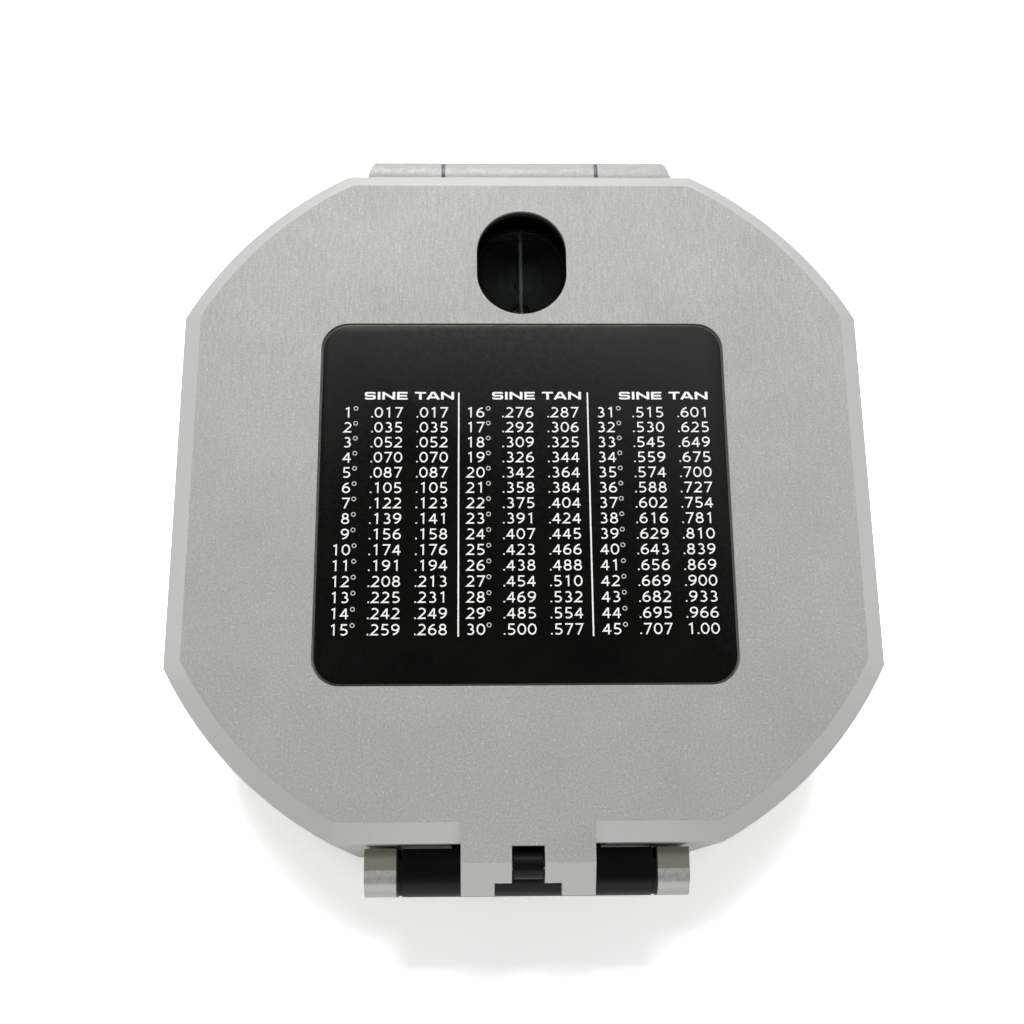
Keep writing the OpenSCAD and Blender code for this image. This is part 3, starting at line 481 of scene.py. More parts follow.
    def line(self, text: str, height: float, stretch: float = 1.0, from_last: bool = False) -> Surface:
        """Sets a line of type that faces +Z, with half its height over the origin.

        Args:
            text: The characters.
            height: Their height in millimetres.
            stretch: How much wider than usual the letters are.
            from_last: Whether the last letter's middle is at x = 0, and not the line's.

        Returns:
            The line as one surface.
        """
        steps = np.array([self.step(c) for c in text])
        places = np.concatenate([[0.0], np.cumsum((steps[:-1] + steps[1:]) / 2)])
        origin = places[-1] if from_last else (places[0] - steps[0] / 2 + places[-1] + steps[-1] / 2) / 2
        made = joined(self.letter(c).moved((x - origin, -0.5, 0)) for c, x in zip(text, places))
        return Surface(made.points * np.array([height * stretch, height, 1.0]), made.faces)


class Tree:
    """A tree of shader nodes, written as plain calls."""

    def __init__(self, tree: bpy.types.NodeTree) -> None:
        """Empties the tree."""
        self.tree = tree
        self.tree.nodes.clear()

    def link(self, source: Socket, target: Socket) -> None:
        """Joins an output to an input."""
        self.tree.links.new(source, target)

    def node(self, kind: str, settings: dict | None = None, **inputs: object) -> Node:
        """Adds a node.

        Args:
            kind: The node's type.
            settings: Its own properties.
            inputs: Values or outputs for its inputs, by name with _ for a space, or by i and their number.

        Returns:
            The node.
        """
        made = self.tree.nodes.new(kind)
        for key, value in (settings or {}).items():
            setattr(made, key, value)
        for key, value in inputs.items():
            numbered = key[0] == "i" and key[1:].isdigit()
            socket = made.inputs[int(key[1:]) if numbered else key.replace("_", " ")]
            if isinstance(value, Socket):
                self.link(value, socket)
            else:
                socket.default_value = value
        return made

    def span(self, value: Socket, low: float, high: float, to_low: float, to_high: float) -> Socket:
        """Stretches a value from one range to another, and holds it there."""
        made = self.node("ShaderNodeMapRange", i0=value, i1=low, i2=high, i3=to_low, i4=to_high)
        return made.outputs["Result"]

    def maths(self, operation: str, first: Socket | float, second: Socket | float = 0.0) -> Socket:
        """Adds a sum, product or other operation on two values."""
        made = self.node("ShaderNodeMath", {"operation": operation}, i0=first, i1=second)
        return made.outputs["Value"]

    def total(self, *values: Socket | float) -> Socket:
        """Adds up several values."""
        result = values[0]
        for value in values[1:]:
            result = self.maths("ADD", result, value)
        return result

    def product(self, *values: Socket | float) -> Socket:
        """Multiplies several values."""
        result = values[0]
        for value in values[1:]:
            result = self.maths("MULTIPLY", result, value)
        return result

    def between(self, length: Socket, low: float, high: float, soft: float = 0.05) -> Socket:
        """Gives 1 where a length in metres is between two in millimetres, and 0 elsewhere, with soft ends."""
        above = self.span(length, (low - soft) * MM, low * MM, 0.0, 1.0)
        return self.product(above, self.span(length, high * MM, (high + soft) * MM, 1.0, 0.0))

    def mix(self, amount: Socket | float, first: Socket | Colour, second: Socket | Colour) -> Socket:
        """Mixes two colours."""
        made = self.node("ShaderNodeMix", {"data_type": "RGBA"}, i0=amount)
        for index, value in ((6, first), (7, second)):
            if isinstance(value, Socket):
                self.link(value, made.inputs[index])
            else:
                made.inputs[index].default_value = (*value, 1.0)
        return made.outputs[2]

    def scale(self, colour: Socket | Colour, gain: Socket) -> Socket:
        """Makes a colour lighter or darker by a factor."""
        made = self.node("ShaderNodeVectorMath", {"operation": "SCALE"}, i0=colour, Scale=gain)
        return made.outputs["Vector"]


class Graph(Tree):
    """A material's tree, with its main shader and the object's coordinates."""

    def __init__(self, name: str) -> None:
        """Starts a material with a shader and an output."""
        self.material = bpy.data.materials.new(name)
        self.material.use_nodes = True
        super().__init__(self.material.node_tree)
        self.output = self.tree.nodes.new("ShaderNodeOutputMaterial")
        self.shader = self.tree.nodes.new("ShaderNodeBsdfPrincipled")
        self.link(self.shader.outputs["BSDF"], self.output.inputs["Surface"])
        self.place = self.tree.nodes.new("ShaderNodeTexCoord").outputs

    def scaled(self, sizes: Point) -> Socket:
        """Gives the object's coordinates divided by a pattern size in millimetres along each axis."""
        scale = tuple(1.0 / (size * MM) for size in sizes)
        return self.node("ShaderNodeMapping", Vector=self.place["Object"], Scale=scale).outputs["Vector"]

    def noise(self, sizes: Point, detail: float = 2.0, rough: float = 0.5) -> Socket:
        """Adds a cloudy pattern.

        Args:
            sizes: The size of a cloud along each axis, in millimetres.
            detail: How many finer layers it has.
            rough: How strong the finer layers are.

        Returns:
            The pattern, from 0 to 1.
        """
        made = self.node(
            "ShaderNodeTexNoise", Vector=self.scaled(sizes), Scale=1.0, Detail=detail, Roughness=rough
        )
        return made.outputs["Fac"]

    def bump(
        self, height: Socket, depth: float, strength: Socket | float = 1.0, under: Socket | None = None,
    ) -> Socket:
        """Turns a height pattern into relief.

        Args:
            height: The pattern, from 0 to 1.
            depth: The depth of the relief in millimetres.
            strength: How much of it shows.
            under: A relief that this one lies on.

        Returns:
            The normal.
        """
        made = self.node("ShaderNodeBump", Height=height, Distance=depth * MM, Strength=strength)
        if under is not None:
            self.link(under, made.inputs["Normal"])
        return made.outputs["Normal"]

    def across(self, axis: str) -> Socket:
        """Gives the object's own normal along one axis."""
        return self.node("ShaderNodeSeparateXYZ", Vector=self.place["Normal"]).outputs[axis]

    def along(self, axis: str) -> Socket:
        """Gives the object's coordinate along one axis, in metres."""
        return self.node("ShaderNodeSeparateXYZ", Vector=self.place["Object"]).outputs[axis]

    def set(self, **inputs: object) -> None:
        """Sets or joins the shader's inputs, with _ for each space in a name."""
        for key, value in inputs.items():
            socket = self.shader.inputs[key.replace("_", " ")]
            if isinstance(value, Socket):
                self.link(value, socket)
            elif isinstance(value, tuple) and len(value) == 3 and socket.type == "RGBA":
                socket.default_value = (*value, 1.0)
            else:
                socket.default_value = value


@dataclass(frozen=True)
class Finish:
    """A surface with a grain, clouds of slightly other colour and uneven gloss.

    The grain is a fine noise that also gives the relief. The clouds are a coarse noise.
    """

    name: str
    colour: Colour
    roughness: float
    metallic: float = 0.0
    grain: float = 0.15
    depth: float = 0.01
    cloud: float = 6.0
    mottle: float = 0.06
    spread: float = 0.06
    coat: float = 0.0
    specular: float = 0.5

    def build(self) -> bpy.types.Material:
        """Makes the material."""
        g = Graph(self.name)
        clouds = g.noise((self.cloud,) * 3, 3.0)
        grain = g.noise((self.grain,) * 3, 2.0)
        dark = tuple(c * (1 - self.mottle) for c in self.colour)
        light = tuple(min(1.0, c * (1 + self.mottle)) for c in self.colour)
        mixed = g.mix(g.span(clouds, 0.3, 0.7, 0.0, 1.0), dark, light)
        speck = g.span(grain, 0.25, 0.75, 1 - self.mottle, 1 + self.mottle)
        g.set(Base_Color=g.scale(mixed, speck), Metallic=self.metallic)
        g.set(Roughness=g.span(grain, 0.3, 0.7, self.roughness - self.spread, self.roughness + self.spread))
        g.set(Specular_IOR_Level=self.specular, Coat_Weight=self.coat, Coat_Roughness=0.08)
        g.set(Normal=g.bump(grain, self.depth, 0.6))
        return g.material


@dataclass(frozen=True)
class BlastedAluminium:
    """Bead-blasted aluminium: sparkling grain, faint streaks towards the hinge, smooth chamfers.

    The chamfers are where the surface leans by more than 22 degrees and less than 60.
    A broken line of painted shade runs along the edge between the face and them. Painted shade darkens
    the hinge end and the flats of the lugs under the lid's edge. Painted shade blackens the metal behind the
    large sight and on the window's wall.
    """

    name: str
    face: Colour = srgb(214, 215, 211)
    shade: Colour = srgb(204, 204, 200)
    chamfer: Colour = srgb(201, 201, 199)
    # Painted shade: this warm dark colour on the lugs' flats stands in for the shade under the lid's edge.
    lug_shade: Colour = srgb(164, 161, 146)
    # Painted shade: the factor that darkens the hinge end, beyond hinge_shade_y.
    hinge_shade_gain: float = 0.78
    hinge_shade_y: float = 35.2
    lug_shade_y: tuple[float, float] = (-37.8, -35.2)
    lug_shade_z: tuple[float, float] = (28.0, 28.8)
    # Painted shade: the boxes behind the large sight and on the window's wall where the metal is blackened.
    sight_y: tuple[float, float] = (-41.0, -35.2)
    sight_z: tuple[float, float] = (19.0, 28.8)
    sight_half: float = 12.6
    window_y: tuple[float, float] = (17.5, 31.4)
    window_z: tuple[float, float] = (30.0, 32.62)
    window_half: float = 5.7
    painted_shade_gain: float = 0.05
    grain: float = 0.2
    streak: Point = (0.17, 1.3, 1.3)
    metallic: float = 0.55
    streaking: float = 0.09
    sparkle: float = 0.13
    flecks: float = 0.2
    # How much the painted shade along the face-to-chamfer edge darkens it.
    edge_shade: float = 0.22

    def build(self) -> bpy.types.Material:
        """Makes the material."""
        g = Graph(self.name)
        grain = g.noise((self.grain,) * 3, 2.0, 0.6)
        clouds = g.noise((9.0, 9.0, 9.0), 3.0)
        streaks = g.noise(self.streak, 3.0, 0.6)
        upper = g.span(g.along("Y"), -0.012, 0.022, 0.12, 1.0)
        body = g.mix(g.span(clouds, 0.25, 0.75, 0.0, 1.0), self.shade, self.face)
        streaked = g.product(g.span(streaks, 0.3, 0.7, -self.streaking, self.streaking), upper)
        sparkle = g.span(grain, 0.3, 0.7, -self.sparkle, self.sparkle)
        flecks = g.span(g.noise((0.3, 0.3, 0.3), 1.0), 0.64, 0.72, 0.0, self.flecks)
        tilt = g.across("Z")
        slope = g.product(g.span(tilt, 0.985, 0.93, 0.0, 1.0), g.span(tilt, 0.35, 0.5, 0.0, 1.0))
        colour = g.mix(slope, g.scale(body, g.total(1.0, streaked, sparkle, flecks)), self.chamfer)
        # Painted shade: a dark, broken line along the rounded edge between the face and the chamfers, picked
        # by its tilt.
        edge = g.product(g.span(tilt, 0.998, 0.97, 0.0, 1.0), g.span(tilt, 0.86, 0.9, 0.0, 1.0))
        ragged_edge_shade = g.product(edge, g.span(g.noise((0.7, 0.7, 0.7), 3.0, 0.7), 0.36, 0.6, 0.2, 1.0))
        x, y, z = g.maths("ABSOLUTE", g.along("X")), g.along("Y"), g.along("Z")
        # Painted shade on the lugs' flats, under the lid's edge.
        level = g.span(tilt, 0.97, 0.99, 0.0, 1.0)
        lug_shade = g.product(g.between(y, *self.lug_shade_y), g.between(z, *self.lug_shade_z), level)
        # Painted shade: behind the large sight and on the window's wall the metal is made nearly black and
        # not metallic.
        shade_behind_sight, shade_in_window = (
            g.product(g.between(y, *deep), g.between(z, *high), g.between(x, -1.0, half))
            for deep, high, half in (
                (self.sight_y, self.sight_z, self.sight_half),
                (self.window_y, self.window_z, self.window_half),
            )
        )
        black = g.span(g.maths("MAXIMUM", shade_behind_sight, shade_in_window), 0.0, 1.0, 1.0, self.painted_shade_gain)
        # Painted shade: the hinge end is darkened.
        hinge = g.span(y, self.hinge_shade_y * MM, (self.hinge_shade_y + 1) * MM, 1.0, self.hinge_shade_gain)
        gain = g.product(g.span(ragged_edge_shade, 0.0, 1.0, 1.0, 1.0 - self.edge_shade), hinge, black)
        g.set(Base_Color=g.scale(g.mix(lug_shade, colour, self.lug_shade), gain))
        g.set(Metallic=g.product(self.metallic, black), Roughness=g.span(grain, 0.3, 0.7, 0.40, 0.54))
        flat = g.span(slope, 0.0, 1.0, 1.0, 0.15)
        grained = g.bump(grain, 0.012, g.product(0.55, flat))
        g.set(Normal=g.bump(streaks, 0.01, g.product(0.25, flat), grained))
        return g.material


@dataclass(frozen=True)
class Brushed:
    """A metal with fine lines along one axis, as turning, drawing or polishing leaves them."""

    name: str
    colour: Colour
    roughness: float
    lines: Point = (0.05, 1.6, 0.05)
    depth: float = 0.006
    tarnish: float = 0.12

    def build(self) -> bpy.types.Material:
        """Makes the material."""
        g = Graph(self.name)
        lines = g.noise(self.lines, 2.0, 0.6)
        stain = g.noise((2.2, 2.2, 2.2), 4.0, 0.6)
        dull = tuple(c * (1 - self.tarnish) for c in self.colour)
        mixed = g.mix(g.span(stain, 0.35, 0.7, 0.0, 1.0), self.colour, dull)
        g.set(Base_Color=g.scale(mixed, g.span(lines, 0.3, 0.7, 0.94, 1.04)), Metallic=1.0)
        g.set(Roughness=g.span(stain, 0.3, 0.7, self.roughness, self.roughness + 0.12))
        g.set(Normal=g.bump(lines, self.depth, 0.5))
        return g.material


@dataclass(frozen=True)
class ClearGlass:
    """Polished glass with a trace of dust and a faint tint."""

    name: str
    colour: Colour = (0.96, 0.985, 0.975)
    ior: float = 1.5
    haze: float = 0.02

    def build(self) -> bpy.types.Material:
        """Makes the material."""
        g = Graph(self.name)
        dust = g.noise((0.5, 0.5, 0.5), 4.0, 0.7)
        g.set(Base_Color=self.colour, Transmission_Weight=1.0, IOR=self.ior)
        g.set(Roughness=g.span(dust, 0.55, 0.85, 0.0, self.haze))
        return g.material


@dataclass(frozen=True)
class Silvering:
    """The mirror's silver coat, with faint wipe marks."""

    name: str
    colour: Colour = (0.93, 0.94, 0.94)

    def build(self) -> bpy.types.Material:
        """Makes the material."""
        g = Graph(self.name)
        wipe = g.noise((3.0, 0.4, 3.0), 4.0, 0.6)
        spots = g.noise((0.6, 0.6, 0.6), 3.0, 0.6)
        faded = tuple(c * 0.9 for c in self.colour)
        g.set(Base_Color=g.mix(g.span(spots, 0.68, 0.78, 0.0, 1.0), self.colour, faded), Metallic=1.0)
        g.set(Roughness=g.span(wipe, 0.4, 0.8, 0.015, 0.06))
        return g.material


def ink(name: str, colour: Colour, mottle: float = 0.05) -> Finish:
    """Gives the finish of a printed line, which is nearly even."""
    return Finish(name, colour, 0.5, grain=0.05, depth=0.002, cloud=2.0, mottle=mottle)


def blacking(name: str, colour: Colour, roughness: float, specular: float, spread: float = 0.06) -> Finish:
    """Gives the finish of a blackened sight."""
    return Finish(
        name, colour, roughness, grain=0.12, depth=0.006, cloud=5.0, mottle=0.18,
        spread=spread, specular=specular,
    )


FINISHES = (
    BlastedAluminium("blasted_aluminium"),
    blacking("satin_black", srgb(12, 12, 13), 0.42, 0.25, 0.08),
    blacking("dull_black", srgb(13, 14, 13), 0.55, 0.3),
    Finish("plate_black", srgb(13, 13, 12), 0.2, grain=0.3, depth=0.002, cloud=7.0, mottle=0.2, spread=0.05),
    ink("white_print", srgb(240, 240, 238)),
    ink("grey_print", srgb(196, 196, 194)),
    ink("line_grey", srgb(140, 138, 138)),
    ink("black_print", srgb(18, 18, 20), 0.15),
    Finish("dial_enamel", srgb(228, 227, 219), 0.42, grain=0.12, depth=0.003, mottle=0.03),
    Finish("dial_ground", srgb(214, 214, 208), 0.5, grain=0.14, depth=0.006, mottle=0.04),
    Finish("rubber_black", srgb(30, 30, 30), 0.75, grain=0.08, cloud=3.0, mottle=0.15),
    Finish("needle_white", srgb(236, 236, 230), 0.4, grain=0.1, depth=0.003, cloud=3.0, mottle=0.04),
    Finish(
        "ruby", srgb(150, 12, 34), 0.12, grain=0.3, depth=0.001, cloud=1.0, mottle=0.2, spread=0.04, coat=1.0,
    ),
    Finish("plug_white", srgb(222, 218, 205), 0.55, grain=0.1, depth=0.004, cloud=2.0, mottle=0.05),
    Brushed("steel", srgb(196, 198, 202), 0.26),
    Brushed("bare_edge", srgb(150, 147, 138), 0.4, (0.4, 0.4, 0.05)),
    Brushed("blued_steel", srgb(52, 58, 78), 0.24),
    Brushed("brass", srgb(206, 168, 98), 0.26),
    Brushed("copper", srgb(196, 118, 84), 0.3),
    Brushed("magnet_steel", srgb(112, 114, 118), 0.38),
    ClearGlass("clear_glass"),
    # Painted shade: the pane's dark tint stands in for the shade inside the case seen through the window.
    ClearGlass("shade_tinted_pane", (0.44, 0.49, 0.46)),
    ClearGlass("level_spirit", (0.72, 0.9, 0.16), 1.36, 0.0),
    Silvering("silvering"),
)


class Shop:
    """The finishes of the instrument, each made once."""

    def __init__(self) -> None:
        """Mixes every finish."""
        self.made = {finish.name: finish.build() for finish in FINISHES}

    def take(self, name: str) -> bpy.types.Material:
        """Gives a finish by its name."""
        return self.made[name]


@dataclass(frozen=True)
class Trim:
    """How a piece is dressed: its finishes and how its edges are rounded and shaded."""

    finish: str
    bevel: float = 0.0
    smooth: float = 30.0
    second: str = ""
    second_faces: FaceTest | None = None


@dataclass
class Bench:
    """Where pieces are put together: it turns surfaces into objects that ride on their bodies."""

    shop: Shop
    count: int = 0

    def piece(
        self, name: str, surface: Surface, trim: Trim, body: Body,
        replaces: Sequence[str] = (), merge: bool = False,
    ) -> bpy.types.Object:
        """Makes an object from a surface and puts it on its body.

        Args:
            name: The piece's name.
            surface: Its points and faces, in millimetres.
            trim: How it is dressed.
            body: The body that it rides on.
            replaces: The measured parts that it stands for.
            merge: Whether points that coincide are joined first.

        Returns:
            The object.
        """
        mesh = bpy.data.meshes.new(name)
        mesh.from_pydata((surface.points * MM).tolist(), [], [list(map(int, f)) for f in surface.faces])
        if merge:
            work = bmesh.new()
            work.from_mesh(mesh)
            bmesh.ops.remove_doubles(work, verts=work.verts, dist=1e-7)
            bmesh.ops.dissolve_degenerate(work, edges=work.edges, dist=1e-8)
            bmesh.ops.recalc_face_normals(work, faces=work.faces)
            work.to_mesh(mesh)
            work.free()
        return self.dress(name, mesh, trim, body, replaces)

    def dress(
        self, name: str, mesh: bpy.types.Mesh, trim: Trim, body: Body, replaces: Sequence[str],
    ) -> bpy.types.Object:
        """Gives a mesh its finish, its rounding and its body; the arguments are those of piece."""
        mesh.validate()
        mesh.shade_smooth()
        mesh.set_sharp_from_angle(angle=radians(trim.smooth))
        mesh.materials.append(self.shop.take(trim.finish))
        if trim.second_faces:
            mesh.materials.append(self.shop.take(trim.second))
            centres = np.empty(len(mesh.polygons) * 3)
            normals = np.empty(len(mesh.polygons) * 3)
            mesh.polygons.foreach_get("center", centres)
            mesh.polygons.foreach_get("normal", normals)
            chosen = trim.second_faces(centres.reshape(-1, 3) / MM, normals.reshape(-1, 3))
            mesh.polygons.foreach_set("material_index", chosen.astype(np.int32))
        made = bpy.data.objects.new(name, mesh)
        bpy.context.scene.collection.objects.link(made)
        if trim.bevel:
            rounding = made.modifiers.new("rounding", "BEVEL")
            rounding.width = trim.bevel * MM
            rounding.segments = 2
            rounding.limit_method = "ANGLE"
            rounding.angle_limit = radians(35)
            rounding.use_clamp_overlap = True
            rounding.harden_normals = True
        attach(made, body.value)
        if replaces:
            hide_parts(*replaces)
        self.count += 1
        log.info("%s: %d faces on %s", name, len(mesh.polygons), body.value)
        return made

    def rounded_copy(self, node: str, trim: Trim, body: Body) -> bpy.types.Object:
        """Stands a copy of a measured part in its place, with its edges rounded.

        Args:
            node: The measured part.
            trim: How it is dressed.
            body: The body that it rides on.

        Returns:
            The object.
        """
        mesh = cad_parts[node].data.copy()
        mesh.name = node + "_finished"
        mesh.materials.clear()
        if "custom_normal" in mesh.attributes:
            mesh.attributes.remove(mesh.attributes["custom_normal"])
        work = bmesh.new()
        work.from_mesh(mesh)
        bmesh.ops.remove_doubles(work, verts=work.verts, dist=2e-6)
        bmesh.ops.dissolve_limit(work, angle_limit=radians(1.0), verts=work.verts, edges=work.edges)
        work.to_mesh(mesh)
        work.free()
        return self.dress(node + "_finished", mesh, trim, body, (node,))

    def paint(self, finishes: dict[str, str]) -> None:
        """Gives measured parts that stay as they are their finish.

        Args:
            finishes: The names of the parts that take each finish.
        """
        for finish, nodes in finishes.items():
            for node in nodes.split():
                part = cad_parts[node]
                if not part.material_slots:
                    part.data.materials.append(self.shop.take(finish))
                for place in part.material_slots:
                    place.material = self.shop.take(finish)
                log.info("%s: %s", node, finish)


@dataclass
class TablePlate:
    """The black plate on the lid, with its printed table of sines and tangents."""

    corner: float = 2.8
    rim: float = 0.13
    face_tilt: float = 0.97
    groups: int = 3
    rows: int = 15
    group_pitch: float = 13.4
    heading_pitch: float = 13.1
    row_pitch: float = 1.618
    first_row: float = 7.48
    heading_y: float = 9.3
    number_h: float = 1.12
    heading_h: float = 0.84
    heading_stretch: float = 1.52
    one_digit_x: float = -17.96
    two_digits_x: float = -17.81
    sine_x: float = -12.78
    tangent_x: float = -8.15
    sine_heading_x: float = -14.1
    tangent_heading_x: float = -9.1
    sign_reach: float = 0.8
    sign_rise: float = 0.43
    sign_r: float = 0.2
    sign_w: float = 0.09
    rule_x: float = 6.63
    rule_top: float = 9.65
    rule_low: float = -15.9
    rule_w: float = 0.15

    def value(self, number: float) -> str:
        """Writes a value as the table does: three decimals and no leading nought, or 1.00."""
        return "1.00" if number >= 0.9995 else f"{number:.3f}"[1:]

    def plate(self, bench: Bench) -> float:
        """Makes the plate, a rounded rectangle whose bevelled rim is bare metal.

        Args:
            bench: Where it is put together.

        Returns:
            The height of its face.
        """
        low, high = node_corner("table_plate")
        wide, long = high[0] - low[0], high[1] - low[1]
        insets = [
            (0.0, low[2]), (0.0, high[2] - self.rim), (self.rim * 0.5, high[2] - self.rim * 0.2),
            (self.rim, high[2]),
        ]
        loops = np.array([
            at_height(rounded_rectangle(wide - 2 * i, long - 2 * i, self.corner - i), z) for i, z in insets
        ])
        made = stack(loops).moved(((low[0] + high[0]) / 2, (low[1] + high[1]) / 2, 0))
        trim = Trim(
            "plate_black", second="bare_edge",
            second_faces=lambda centre, normal: normal[:, 2] < self.face_tilt,
        )
        bench.piece("table_plate_face", made, trim, Body.COVER, ("table_plate",))
        return high[2]

    def places(self) -> list[tuple[int, float, float]]:
        """Lists the table's angles in degrees, each with its group's shift and its row's height."""
        return [
            (group * self.rows + row + 1, group * self.group_pitch, self.first_row - row * self.row_pitch)
            for group in range(self.groups) for row in range(self.rows)
        ]

    def last_digit(self, angle: int) -> float:
        """Gives the place of an angle's last digit in the first group."""
        return self.two_digits_x if angle > 9 else self.one_digit_x

    def numbers(self, figures: StrokeType, face_z: float) -> Surface:
        """Sets the whole table: angles in degrees, their sines and their tangents.

        Args:
            figures: The type.
            face_z: The height of the plate's face.

        Returns:
            All the numbers as one surface.
        """
        return joined(
            figures.line(text, self.number_h, from_last=True).moved((x + shift, y, face_z))
            for angle, shift, y in self.places()
            for text, x in (
                (f"{angle}", self.last_digit(angle)),
                (self.value(sin(radians(angle))), self.sine_x),
                (self.value(tan(radians(angle))), self.tangent_x),
            )
        )

    def degree_signs(self, face_z: float) -> Surface:
        """Puts a small ring after every angle, a square section carried round a circle."""
        inner, outer = self.sign_r - self.sign_w / 2, self.sign_r + self.sign_w / 2
        low, top = -StrokeType.sink, StrokeType.thickness
        ring = lathe([(inner, low), (outer, low), (outer, top), (inner, top)], 12)
        return joined(
            ring.moved((self.last_digit(angle) + self.sign_reach + shift, y + self.sign_rise, face_z))
            for angle, shift, y in self.places()
        )

    def headings(self, capitals: StrokeType, face_z: float) -> Surface:
        """Sets the heading over each column.

        Args:
            capitals: The type.
            face_z: The height of the plate's face.

        Returns:
            The headings as one surface.
        """
        return joined(
            capitals.line(text, self.heading_h, self.heading_stretch).moved(
                (x + group * self.heading_pitch, self.heading_y, face_z)
            )
            for group in range(self.groups)
            for text, x in (("SINE", self.sine_heading_x), ("TAN", self.tangent_heading_x))
        )

    def rules(self, face_z: float) -> Surface:
        """Draws the two upright lines between the groups."""
        middle = (self.rule_top + self.rule_low) / 2
        centres = [(side * self.rule_x, middle, face_z) for side in (-1, 1)]
        size = (self.rule_w, self.rule_top - self.rule_low, 2 * StrokeType.thickness)
        return boxes(np.array(centres), np.array([size, size]), np.zeros(2))

    def build(self, bench: Bench) -> None:
        """Makes the plate and prints it."""
        face_z = self.plate(bench)
        for name, made, finish in (
            ("table_numbers", self.numbers(StrokeType(0.128), face_z), "white_print"),
            ("table_degree_signs", self.degree_signs(face_z), "grey_print"),
            ("table_headings", self.headings(StrokeType(0.21), face_z), "white_print"),
            ("table_rules", self.rules(face_z), "white_print"),
        ):
            bench.piece(name, made, Trim(finish), Body.COVER)


@dataclass
class LidGlass:
    """The lid's mirror: a glass disc, its silvering with a clear window, and the sighting line."""

    coat: float = 0.02
    line_w: float = 0.36
    window_w: float = 9.5
    window_l: float = 12.0
    window_y: float = 24.45
    window_margin: float = 0.6
    edge_inset: float = 1.05
    gap: float = 0.005
    line_ends: tuple[float, float] = (0.3, 0.4)

    def build(self, bench: Bench) -> None:
        """Makes the silvering and the sighting line."""
        low, high = node_corner("mirror")
        window = obround(self.window_w + 2 * self.window_margin, self.window_l + 2 * self.window_margin)
        window[:, 1] += self.window_y
        self.silver(bench, window, high[1] - self.edge_inset, low[1] + 0.05, low[2] - self.coat - self.gap)
        line_low, line_high = low[1] + self.line_ends[0], high[1] - self.line_ends[1]
        size = (self.line_w, line_high - line_low, self.coat)
        place = (0, (line_low + line_high) / 2, low[2] - 1.5 * self.coat - 0.012)
        made = boxes(np.array([place]), np.array([size]), np.zeros(1))
        trim = Trim("black_print", second="line_grey", second_faces=lambda centre, normal: normal[:, 2] > 0.5)
        bench.piece("sighting_line", made, trim, Body.COVER)

    def silver(self, bench: Bench, window: np.ndarray, edge: float, flat_y: float, z: float) -> None:
        """Makes the silvering between the disc's edge and the window.

        Rays from the window's middle meet both outlines, and each ray's points are spread evenly.

        Args:
            bench: Where it is put together.
            window: The outline of the clear window.
            edge: The radius where the coat ends.
            flat_y: Where it is cut off straight.
            z: The height of its lower side.
        """
        centre = np.array([0.0, self.window_y])
        spokes = window - centre
        direction = spokes / np.linalg.norm(spokes, axis=1)[:, None]
        b = direction @ centre
        reach = -b + np.sqrt(b * b - centre @ centre + edge * edge)
        with np.errstate(divide="ignore"):
            to_flat = np.where(direction[:, 1] < 0, (flat_y - centre[1]) / direction[:, 1], np.inf)
        outer = centre + direction * np.minimum(reach, to_flat)[:, None]
        share = np.linspace(0, 1, 4)[:, None, None]
        rows = window[None] * (1 - share) + outer[None] * share
        lower = np.concatenate([rows, np.full(rows.shape[:2] + (1,), z)], -1)
        upper = lower[::-1] + np.array([0, 0, self.coat])
        made = grid(np.concatenate([lower, upper]), close_u=True, close_v=True)
        bench.piece("mirror_silvering", made, Trim("silvering"), Body.COVER, merge=True)


@dataclass
class Shells:
    """The case and the lid, with their edges rounded."""

    rounding: float = 0.12

    def build(self, bench: Bench) -> None:
        """Rounds and finishes both."""
        trim = Trim("blasted_aluminium", self.rounding)
        bench.rounded_copy("body_case", trim, Body.CASE)
        bench.rounded_copy("lid", trim, Body.COVER)
        bench.rounded_copy("vernier_lever", trim, Body.CLINOMETER)


@dataclass
class HingeWashers:
    """The two friction washers, which close the gaps beside the lid hinge's knuckle."""

    inner: float = 1.1
    outer: float = 2.86
    thick: float = 0.35

    def build(self, bench: Bench) -> None:
        """Makes both, as far apart and as thick as the measured ones."""
        low, high = node_corner("lid_hinge_washers")
        section = [(self.inner, 0), (self.outer, 0), (self.outer, self.thick), (self.inner, self.thick)]
        washer = lathe(section, 48).turned(90, "Y").moved((0, (low[1] + high[1]) / 2, (low[2] + high[2]) / 2))
        made = joined([washer.moved((low[0], 0, 0)), washer.moved((high[0] - self.thick, 0, 0))])
        trim = Trim("magnet_steel")
        bench.piece("hinge_washers", made, trim, Body.CASE, ("lid_hinge_washers",))


@dataclass
class Sights:
    """Both sights and the folding tip, with their edges rounded."""

    rounding: float = 0.1

    def build(self, bench: Bench) -> None:
        """Rounds and finishes them."""
        bench.rounded_copy("sight_arm", Trim("satin_black", self.rounding), Body.LARGE_SIGHT)
        bench.rounded_copy("small_sight", Trim("satin_black", self.rounding), Body.PEEP)
        bench.rounded_copy("sight_tip", Trim("dull_black", self.rounding / 2), Body.TIP)


def tick_lengths(values: np.ndarray, short: float, middle: float, long: float) -> np.ndarray:
    """Gives the length of each mark: long at tens, middle at fives and short elsewhere."""
    return np.where(values % 10 == 0, long, np.where(values % 5 == 0, middle, short))


DIAL_WEIGHT = 0.15


